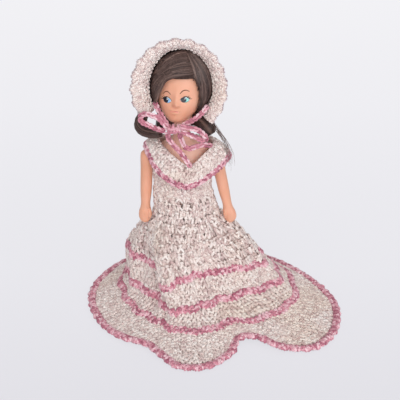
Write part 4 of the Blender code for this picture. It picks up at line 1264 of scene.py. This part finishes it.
def ellipse(middle, half_width, half_height, count=24, power=1.0):
    """Give the outline of an ellipse, pointed at its sides where power is over one."""
    outline = []
    for k in range(count):
        a = 2 * pi * k / count
        fall = abs(sin(a)) ** power * (1 if sin(a) >= 0 else -1)
        outline.append((middle[0] + half_width * cos(a), middle[1] + half_height * fall))
    return outline


def paint_face(head, paints):
    """Paint the eyes, lids, lashes, brows and lips."""
    paint = FacePaint(head)
    white, blue, navy, black, brown, blush, teal = range(7)
    for side, (x, z) in EYES.items():
        sign = -1 if side == "left" else 1
        paint.patch(ellipse((x, z), EYE_HALF_WIDTH, EYE_HALF_HEIGHT, 24, 1.25), white, 0.03)
        tint = blue if side == "left" else teal
        paint.patch(ellipse((x + 0.55, z - 0.15), 1.5, 1.15, 20), tint, 0.06)
        paint.patch(ellipse((x + GLANCE[0], z + GLANCE[1]), 1.5, 1.38, 22), navy, 0.09)
        paint.patch(ellipse((x + GLANCE[0] - 0.1, z + GLANCE[1]), 0.85, 0.95, 16), black, 0.12)
        # A small white dot on each iris: a painted highlight.
        paint.patch(ellipse((x + GLANCE[0] + 0.75, z + 0.5), 0.3, 0.32, 10), white, 0.15)
        t = np.linspace(-1, 1, 13)
        lid_x = x + (EYE_HALF_WIDTH + 0.25) * t
        lid_z = z + 0.1 + (EYE_HALF_HEIGHT + 0.1) * (1 - t ** 2) ** 0.8 + 0.25 * sign * t
        thick = 0.16 + 0.42 * np.clip(1 - np.abs(t - 0.2 * sign), 0, 1)
        paint.stroke(np.stack([lid_x, lid_z], axis=1), thick, black, 0.16)
        under = np.stack([lid_x, z - (EYE_HALF_HEIGHT - 0.05) * np.maximum(0, 1 - t ** 2) ** 0.9], axis=1)
        paint.stroke(under[1:-1], np.full(11, 0.13), brown, 0.1)
        corner = x + sign * (EYE_HALF_WIDTH - 0.35)
        for number, rise in enumerate((0.1, 0.75, 1.35)):
            u = np.linspace(0, 1, 6)
            lash_x = corner - sign * 0.5 * number + sign * (1.75 - 0.3 * number) * u
            lash_z = z + 0.35 + 0.35 * number + rise * u ** 1.4
            paint.stroke(np.stack([lash_x, lash_z], axis=1), 0.3 * (1 - u) + 0.06, black, 0.17)
    brows = {
        "left": ((-8.5, -1.7), (-7.0, -0.2), (-5.4, 0.1), (-3.9, -1.3)),
        "right": ((1.5, -0.6), (2.8, 1.0), (4.6, 1.55), (6.6, 0.8)),
    }
    for side, route in brows.items():
        flat = [(x, 0.0, z) for x, z in route]
        line = open_curve(flat, 6)[:, (0, 2)]
        u = np.linspace(0, 1, len(line))
        width = 0.12 + 0.4 * np.sin(pi * np.clip(0.15 + 0.75 * u, 0, 1))
        paint.stroke(line, width if side == "right" else width[::-1], brown, 0.05)
    t = np.linspace(-1, 1, 15)
    for rise in (0.85, -1.15):
        edge = MOUTH[1] - 0.1 + rise * (1 - t ** 2) ** (0.8 if rise > 0 else 1.0)
        if rise > 0:
            edge = edge - 0.3 * np.exp(-(t / 0.16) ** 2)
        crease = np.full(len(t), MOUTH[1] - 0.1) + 0.16 * t ** 2
        across = MOUTH[0] + 2.75 * t
        tilt = 0.07 * (across - MOUTH[0])
        upper = np.stack([across, edge + tilt], axis=1)[1:-1]
        lower = np.stack([across, crease + tilt], axis=1)[1:-1]
        pair = (upper, lower) if rise > 0 else (lower, upper)
        paint.ribbon(pair[0], pair[1], blush, 0.02)
    names = ("white", "blue", "navy", "black", "brown", "blush", "teal")
    made = paint.make("face_paint", [paints["paint_" + n] for n in names])
    finish_piece(made, "head", "vinyl_skin")


def arm_sections(lean):
    """Give sideways and forward shift, drop, half width and half depth down an arm."""
    return (
        (0.0, 0.0, -3.5, 1.7, 1.8),
        (0.0, 0.0, -2.8, 2.8, 2.9),
        (0.0, 0.0, -1.4, ARM_RADIUS - 0.2, 4.0),
        (0.0, 0.1, 2.0, ARM_RADIUS, 4.2),
        (0.1 * lean, 0.3, 8.0, ARM_RADIUS - 0.1, 4.0),
        (0.3 * lean, 1.0, 15.0, 3.5, 3.7),
        (0.5 * lean, 2.0, 22.0, 3.3, 3.5),
        (0.7 * lean, 3.0, 28.0, 2.8, 3.0),
        (0.8 * lean, 3.4, 31.0, 3.0, 2.9),
        (0.9 * lean, 3.8, 34.0, 3.8, 2.9),
        (1.0 * lean, 4.1, 37.0, 3.7, 2.5),
        (1.0 * lean, 4.4, HAND_DROP - 1.2, 2.8, 2.0),
        (1.0 * lean, 4.5, HAND_DROP, 1.5, 1.2),
    )


def make_arm(side, paints):
    """Make a smooth vinyl arm with finger grooves and a thumb."""
    sign = -1 if side == "left" else 1
    lean = ARM_LEANS[side]
    x0 = AXIS_X + sign * ARM_OFFSET
    sections = open_curve([(*s[:3],) for s in arm_sections(lean)], 6)
    sizes = open_curve([(s[3], s[4], 0.0) for s in arm_sections(lean)], 6)
    around = 32
    angles = 2 * pi * np.arange(around) / around
    rings = []
    for (out, forward, drop), (wide, deep, _) in zip(sections, sizes):
        hand = np.clip((drop - 33.0) / 4.0, 0, 1)
        groove = 1 - 0.05 * hand * np.maximum(0, np.cos(8 * angles)) ** 3 * (np.sin(angles) < 0.4)
        rings.append(np.stack([
            x0 + sign * out + wide * np.cos(angles) * groove,
            -forward + deep * np.sin(angles) * groove,
            np.full(around, SHOULDER_HEIGHT - drop),
        ], axis=1))
    grid = np.array(rings)
    rows = len(rings)
    caps_top = np.arange(around)[None]
    caps_low = (rows - 1) * around + np.arange(around)[::-1][None]
    faces = [grid_faces(rows, around, True), caps_top, caps_low]
    made = mesh_object("arm_skin_" + side, grid.reshape(-1, 3), faces, paints["skin"])
    weld(made)
    thumb_at = (x0 + sign * (lean - 2.9), -5.4, SHOULDER_HEIGHT - HAND_DROP + 6.0)
    thumb = ball_object(thumb_at, (1.3, 1.4, 3.4))
    join_volume(made, thumb)
    finish_piece(made, "arm_" + side, "vinyl_skin", "arm_" + side)


def ball_object(centre, half_sizes):
    """Make an ellipsoid on the plan."""
    data = bpy.data.meshes.new("ball")
    shell = bmesh.new()
    bmesh.ops.create_uvsphere(shell, u_segments=20, v_segments=14, radius=1)
    size = Matrix.Diagonal((*(Vector(half_sizes) * MM), 1))
    bmesh.ops.transform(shell, matrix=Matrix.Translation(to_frame(centre)) @ size, verts=shell.verts)
    shell.to_mesh(data)
    shell.free()
    return add_object("ball", data)


def join_volume(made, other):
    """Join another closed mesh to a piece by a union, and smooth the join."""
    union = made.modifiers.new("union", "BOOLEAN")
    union.operation = "UNION"
    union.object = other
    apply_modifiers(made)
    bpy.data.objects.remove(other, do_unlink=True)
    made.data.shade_smooth()


# Hair

def hairline(turns):
    """Give how far down the hair reaches, in radians, at turns from the face's middle."""
    off = np.abs((turns + pi) % (2 * pi) - pi)
    share = np.clip((off - radians(FRINGE_TURN)) / radians(FRINGE_FALL), 0.0, 1.0)
    return np.radians(FRINGE_DOWN + (NAPE_DOWN - FRINGE_DOWN) * share * share * (3 - 2 * share))


def scalp(turns, downs, lift):
    """Give points over the head at turns from the face's middle and angles down from the crown."""
    way = np.stack([np.sin(turns) * np.sin(downs), -np.cos(turns) * np.sin(downs), np.cos(downs)], axis=-1)
    out = unit(way / np.array(HEAD_HALF_SIZES))
    points = head_points(way.reshape(-1, 3)).reshape(way.shape) + out * np.asarray(lift)[..., None]
    turn = face_turn()
    return points @ turn.T + np.array(HEAD_CENTRE), out @ turn.T


def make_hair_cap(paints):
    """Make the base under the strands, as a thin closed cap over the scalp, darker than the hair as painted
    shade.
    """
    around, down = 120, 26
    turns = -2 * pi * np.arange(around) / around
    grid = []
    for share in np.linspace(0.02, 1.0, down):
        lift = HAIR_LIFT + 0.7 + (0.2 * np.sin(9 * turns) + FRINGE_LIFT) * share
        points, _ = scalp(turns, hairline(turns) * share, lift)
        grid.append(points)
    grid = np.array(grid)
    faces = [grid_faces(down, around, True), np.arange(around)[None]]
    made = mesh_object("hair_base", grid.reshape(-1, 3), faces, paints["hair_painted_shade"])
    thicken(made, 0.9)
    finish_piece(made, "head", "brown_hair", "hair_cap")


def make_hair_strands(paints):
    """Comb strands over the scalp: from a parting over one brow, down and round the face."""
    strands = Strands("hair_strands", 3)
    count, steps = HAIR_COUNT, 11
    t = np.linspace(0, 1, steps)
    swept = count // 3
    ends = random.uniform(-pi, pi, count)
    ends[:swept] = -np.radians(random.uniform(54.0, 86.0, swept))
    starts = radians(PARTING_TURN) + (ends - radians(PARTING_TURN)) * 0.12
    starts[:swept] = np.radians(PARTING_TURN + random.normal(0.0, 5.0, swept))
    begin = np.radians(random.uniform(2.0, 17.0, count))
    begin[:swept] = np.radians(random.uniform(12.0, 61.0, swept))
    front = np.arange(count) >= swept
    front &= (ends > -radians(50)) & (ends < radians(34))
    ends[front] = -np.radians(random.uniform(55.0, 100.0, front.sum()))
    finish = hairline(ends) * (1.0 + random.normal(0.0, 0.03, count))
    finish[:swept] = begin[:swept] + np.radians(random.uniform(26.0, 56.0, swept))
    ease = np.where(np.arange(count) < swept, 2.9, 0.95)[:, None]
    sweep = np.where(np.arange(count) < swept, 0.95, 0.7)[:, None]
    turns = starts[:, None] + (ends - starts)[:, None] * t[None] ** sweep
    turns = turns + 0.045 * np.sin(5 * t[None] + random.uniform(0, 6, count)[:, None])
    downs = begin[:, None] + (finish - begin)[:, None] * t[None] ** ease
    rise = HAIR_LIFT + HAIR_THICKNESS - 0.1 + 0.35 * np.sin(11 * ends)[:, None] * t[None]
    rise = rise + random.uniform(-0.45, 0.3, count)[:, None] - 0.7 * np.maximum(0, t - 0.86)[None] / 0.14
    points, normals = scalp(turns, downs, rise)
    thick = 0.36 * (0.75 + 0.25 * np.sin(pi * t)) * np.where(t > 0.85, 0.7, 1.0)
    clump = 0.5 + 0.3 * np.sin(ends * 23 + 1.3 * np.sin(ends * 7))
    shades = np.clip(clump + random.normal(0, 0.18, count), 0, 1)
    strands.add(points, normals, thick[None] * (1 + jitter(count, 0.12))[:, None], shades)
    made = strands.make(paints["hair"])
    finish_piece(made, "head", "brown_hair")


def make_lock(side, paints):
    """Make one lock of wavy strands that hangs beside the neck."""
    strands = Strands("hair_lock_strands_" + side, 3)
    steps = 13
    line, along = walk(open_curve(LOCK_ROUTES[side], 10) + np.array([0, 0, HEAD_CENTRE[2]]), steps)
    t = np.linspace(0, 1, steps)
    count = LOCK_COUNT
    angle = random.uniform(0, 2 * pi, count)
    spread = np.sqrt(random.uniform(0.0, 1.0, count))
    profile = LOCK_WIDTHS[side] * (0.55 + 0.5 * np.sin(pi * t ** LOCK_GROWTH[side]) ** 0.6)
    up = np.array([0.0, -0.3, 1.0])
    across = unit(np.cross(along, up))
    lift = np.cross(across, along)
    twist = angle[:, None] + 0.9 * t[None] + 0.12 * np.sin(5 * t[None] + angle[:, None])
    radius = profile[None] * spread[:, None] * (0.9 + 0.1 * np.cos(4 * twist))
    points = line[None] + across[None] * (radius * np.cos(twist))[..., None]
    points = points + lift[None] * (radius * np.sin(twist))[..., None]
    normals = across[None] * np.cos(twist)[..., None] + lift[None] * np.sin(twist)[..., None]
    clump = 0.5 + 0.3 * np.sin(angle * 5)
    shades = np.clip(clump + random.normal(0, 0.18, count), 0, 1)
    thick = 0.34 * (0.6 + 0.4 * np.sin(pi * t))
    strands.add(points, normals, thick[None].repeat(count, axis=0), shades)
    if side == "right":
        add_wisps(strands)
    made = strands.make(paints["hair"])
    finish_piece(made, "head", "brown_hair", "hair_lock_" + side)


def make_nape(paints):
    """Make the hair that hangs behind the jaw, from one lock to the other."""
    strands = Strands("nape_strands", 3)
    count, steps = NAPE_COUNT, 8
    t = np.linspace(0, 1, steps)[None]
    share = random.uniform(-1, 1, count)[:, None]
    side = np.where(share < 0, NAPE_REACH[0], NAPE_REACH[1])
    x = AXIS_X + np.abs(share) * side * (0.82 + 0.18 * t) + jitter(count, 0.5)[:, None]
    y = 9.5 - 5.5 * np.abs(share) ** 2 - 1.5 * t + random.uniform(-1.2, 1.2, count)[:, None]
    fall = NAPE_FALL * (0.86 + 0.14 * np.abs(share)) + jitter(count, 0.7)[:, None]
    z = HEAD_CENTRE[2] - 9.0 - fall * t + 0 * x
    points = np.stack([x, y + 0 * x, z], axis=2)
    normals = np.broadcast_to(np.array([0.0, -1.0, 0.0]), points.shape)
    shades = np.clip(0.45 + 0.3 * np.sin(9 * share[:, 0]) + random.normal(0, 0.16, count), 0, 1)
    strands.add(points, normals, 0.38, shades)
    made = strands.make(paints["hair"])
    finish_piece(made, "head", "brown_hair")


WISP_ROUTE = (
    (13.0, 1.0, 112.0), (18.0, -2.0, 107.0), (22.5, -4.5, 101.0), (25.0, -6.0, 94.5), (24.6, -7.0, 89.0),
)


def add_wisps(strands):
    """Add the loose ends that stray from the right lock."""
    line, _ = walk(open_curve(WISP_ROUTE, 8), 12)
    t = np.linspace(0, 1, 12)
    count = WISP_COUNT
    start = random.normal(0, 0.8, (count, 3))
    drift = random.normal(0, 1.9, (count, 3)) * np.array([1.0, 0.6, 1.2])
    points = line[None] + start[:, None] * (1 - t)[None, :, None]
    points = points + drift[:, None] * (t ** 1.6)[None, :, None]
    points = points - np.array([0, 0, 1.0]) * (0.6 * t ** 2)[None, :, None]
    normals = np.tile(np.array([0.0, -1.0, 0.0]), (count, 12, 1))
    thick = (0.12 * (1.1 - 0.7 * t))[None].repeat(count, axis=0)
    strands.add(points, normals, thick, random.uniform(0.6, 1.0, count))


# The stage

def make_stage():
    """Make the pale floor."""
    data = bpy.data.meshes.new("floor")
    shell = bmesh.new()
    bmesh.ops.create_grid(shell, x_segments=1, y_segments=1, size=3.0)
    shell.to_mesh(data)
    shell.free()
    floor = add_object("floor", data)
    data.materials.append(floor_material())


BACKGROUND = (0.90, 0.895, 0.93)
# Floor colour in front and far back: painted shade in front, painted light far back.
FLOOR_NEAR = (0.72, 0.71, 0.76)
FLOOR_FAR = (0.94, 0.935, 0.965)
FLOOR_GLOW = 0.85


def floor_material():
    """Make the floor: mostly the pale backdrop, with a part of the object's soft shadow. Its colour is
    painted darker in front and paler far back, as painted shade and light, and glows so for the camera.
    """
    n = Nodes("floor", 0.9)
    n.shader.inputs["Specular IOR Level"].default_value = 0.1
    apart = n.add("ShaderNodeSeparateXYZ")
    n.link(n.place(), apart.inputs[0])
    away = n.add("ShaderNodeMapRange")
    away.inputs["From Min"].default_value = -0.25
    away.inputs["From Max"].default_value = 0.9
    n.link(apart.outputs["Y"], away.inputs["Value"])
    # Painted falloff: darker in front, paler far back.
    stops = ((0.0, FLOOR_NEAR), (0.25, (0.84, 0.835, 0.875)), (0.55, BACKGROUND), (1.0, FLOOR_FAR))
    tint = n.ramp(away.outputs["Result"], stops)
    n.link(tint, n.shader.inputs["Base Color"])
    pale = n.add("ShaderNodeEmission")
    n.link(tint, pale.inputs["Color"])
    seen = n.add("ShaderNodeLightPath").outputs["Is Camera Ray"]
    mix = n.add("ShaderNodeMixShader")
    n.link(n.math("MULTIPLY", seen, FLOOR_GLOW), mix.inputs[0])
    n.link(n.shader.outputs[0], mix.inputs[1])
    n.link(pale.outputs[0], mix.inputs[2])
    n.link(mix.outputs[0], n.tree.nodes["Material Output"].inputs["Surface"])
    return n.material


def make_world():
    """Light the scene evenly, with the plain pale background behind."""
    world = bpy.data.worlds.new("studio")
    bpy.context.scene.world = world
    world.use_nodes = True
    tree = world.node_tree
    tree.nodes.clear()
    out = tree.nodes.new("ShaderNodeOutputWorld")
    light = tree.nodes.new("ShaderNodeBackground")
    light.inputs["Color"].default_value = (1.0, 1.0, 1.02, 1)
    light.inputs["Strength"].default_value = WORLD_LIGHT
    seen = tree.nodes.new("ShaderNodeBackground")
    seen.inputs["Color"].default_value = (*BACKGROUND, 1)
    seen.inputs["Strength"].default_value = 1.0
    path = tree.nodes.new("ShaderNodeLightPath")
    mix = tree.nodes.new("ShaderNodeMixShader")
    tree.links.new(path.outputs["Is Camera Ray"], mix.inputs[0])
    tree.links.new(light.outputs[0], mix.inputs[1])
    tree.links.new(seen.outputs[0], mix.inputs[2])
    tree.links.new(mix.outputs[0], out.inputs[0])


WORLD_LIGHT = 0.42
LAMPS = (
    ("key", (-0.4, -0.7, 0.9), 0.8, 2.6),
    ("front", (0.15, -1.1, 0.3), 0.9, 6.9),
    ("fill", (0.75, -0.6, 0.55), 0.8, 2.0),
    ("back", (0.1, 0.9, 0.9), 0.8, 2.0),
)


def make_lamps():
    """Place the large soft lamps, each aimed at the doll's middle."""
    target = Vector(to_frame((0, 0, 70)))
    for name, place, size, power in LAMPS:
        data = bpy.data.lights.new(name, "AREA")
        data.size = size
        data.energy = power
        lamp = add_object(name, data)
        lamp.location = place
        lamp.rotation_euler = (target - Vector(place)).to_track_quat("-Z", "Y").to_euler()


def make_camera():
    """Place the camera at the photograph's viewing angle."""
    data = bpy.data.cameras.new("camera")
    data.lens = CAMERA_LENS
    data.sensor_width = CAMERA_SENSOR
    camera = add_object("camera", data)
    rise = radians(CAMERA_ELEVATION)
    back = Vector((0, -cos(rise), sin(rise))) * CAMERA_DISTANCE
    camera.location = Vector(to_frame(Vector(CAMERA_LOOK) + back))
    camera.rotation_euler = Euler((pi / 2 - rise, 0, 0))
    data.clip_start = 0.01
    bpy.context.scene.camera = camera


# Each yarn's dark, middle and light colour, and the tone of the cream's aged patches.
CREAM = ((0.58, 0.41, 0.40), (0.84, 0.71, 0.66), (0.95, 0.88, 0.84))
CREAM_AGE = (0.96, 0.88, 0.72)
PINK = ((0.40, 0.11, 0.17), (0.68, 0.28, 0.35), (0.90, 0.62, 0.67))
# The bonnet's edge colour: a greyish mauve darker than the cream, partly painted shade along the brim's
# edge.
MAUVE = ((0.46, 0.32, 0.35), (0.74, 0.60, 0.61), (0.93, 0.85, 0.84))


def make_paints():
    """Make every material of the doll and of her clothes."""
    paints = {
        "cream": yarn_material("cream_yarn", *CREAM, 0.45, CREAM_AGE),
        # The base cloth under the stitches is darker than the yarn: painted shade between the stitches.
        "cream_painted_shade": painted_shade_material("cream_painted_shade", (0.62, 0.46, 0.44), (0.80, 0.67, 0.62)),
        "pink": yarn_material("pink_yarn", *PINK, 0.62),
        "mauve": yarn_material("mauve_shaded_yarn", *MAUVE, 0.5),
        "skin": skin_material("vinyl", (0.80, 0.385, 0.245), (0.86, 0.45, 0.31)),
        # Torso and legs: the skin painted lighter than the head's, as painted light where the neck and
        # chest lie in shade.
        "lightened_body_skin": skin_material("lightened_body_vinyl", (0.92, 0.52, 0.40), (0.95, 0.58, 0.45)),
        "hair": hair_material("hair"),
        # The cap under the hair strands is darker than the hair: painted shade under them.
        "hair_painted_shade": painted_shade_material("hair_painted_shade", (0.03, 0.016, 0.013), (0.07, 0.04, 0.033)),
        "plastic": paint_material("white_plastic", (0.7, 0.68, 0.64), 0.4),
        "paint_white": paint_material("paint_white", (0.78, 0.84, 0.88)),
        "paint_blue": paint_material("paint_blue", (0.30, 0.52, 0.80)),
        "paint_teal": paint_material("paint_teal", (0.28, 0.66, 0.60)),
        "paint_navy": paint_material("paint_navy", (0.012, 0.02, 0.05)),
        "paint_black": paint_material("paint_black", (0.006, 0.006, 0.008)),
        "paint_brown": paint_material("paint_brown", (0.14, 0.045, 0.02)),
        "paint_blush": paint_material("paint_blush", (0.80, 0.33, 0.25), 0.4),
    }
    return paints


def keep_nodes(paints):
    """Give the pieces of the solid model that stay in view their finish: the torso and legs a skin painted
    lighter than the head's, as painted light on the shaded neck and chest.
    """
    for name in ("torso", "leg_left", "leg_right"):
        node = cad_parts[name]
        node.data.materials.clear()
        node.data.materials.append(paints["lightened_body_skin"])
    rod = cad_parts["hip_rod"]
    rod.data.materials.clear()
    rod.data.materials.append(paints["plastic"])


def main():
    """Make the camera, the stage and the dressed doll."""
    make_camera()
    make_stage()
    make_world()
    make_lamps()
    paints = make_paints()
    keep_nodes(paints)
    head = make_head(paints)
    paint_face(head, paints)
    for side in ("left", "right"):
        make_arm(side, paints)
    make_hair_cap(paints)
    make_hair_strands(paints)
    for side in ("left", "right"):
        make_lock(side, paints)
    make_nape(paints)
    dress_bonnet(paints)
    dress_bow(paints)
    dress_bodice(paints)
    dress_collar(paints)
    dress_skirt(paints)


main()
bpy.context.scene.view_settings.view_transform = "Standard"
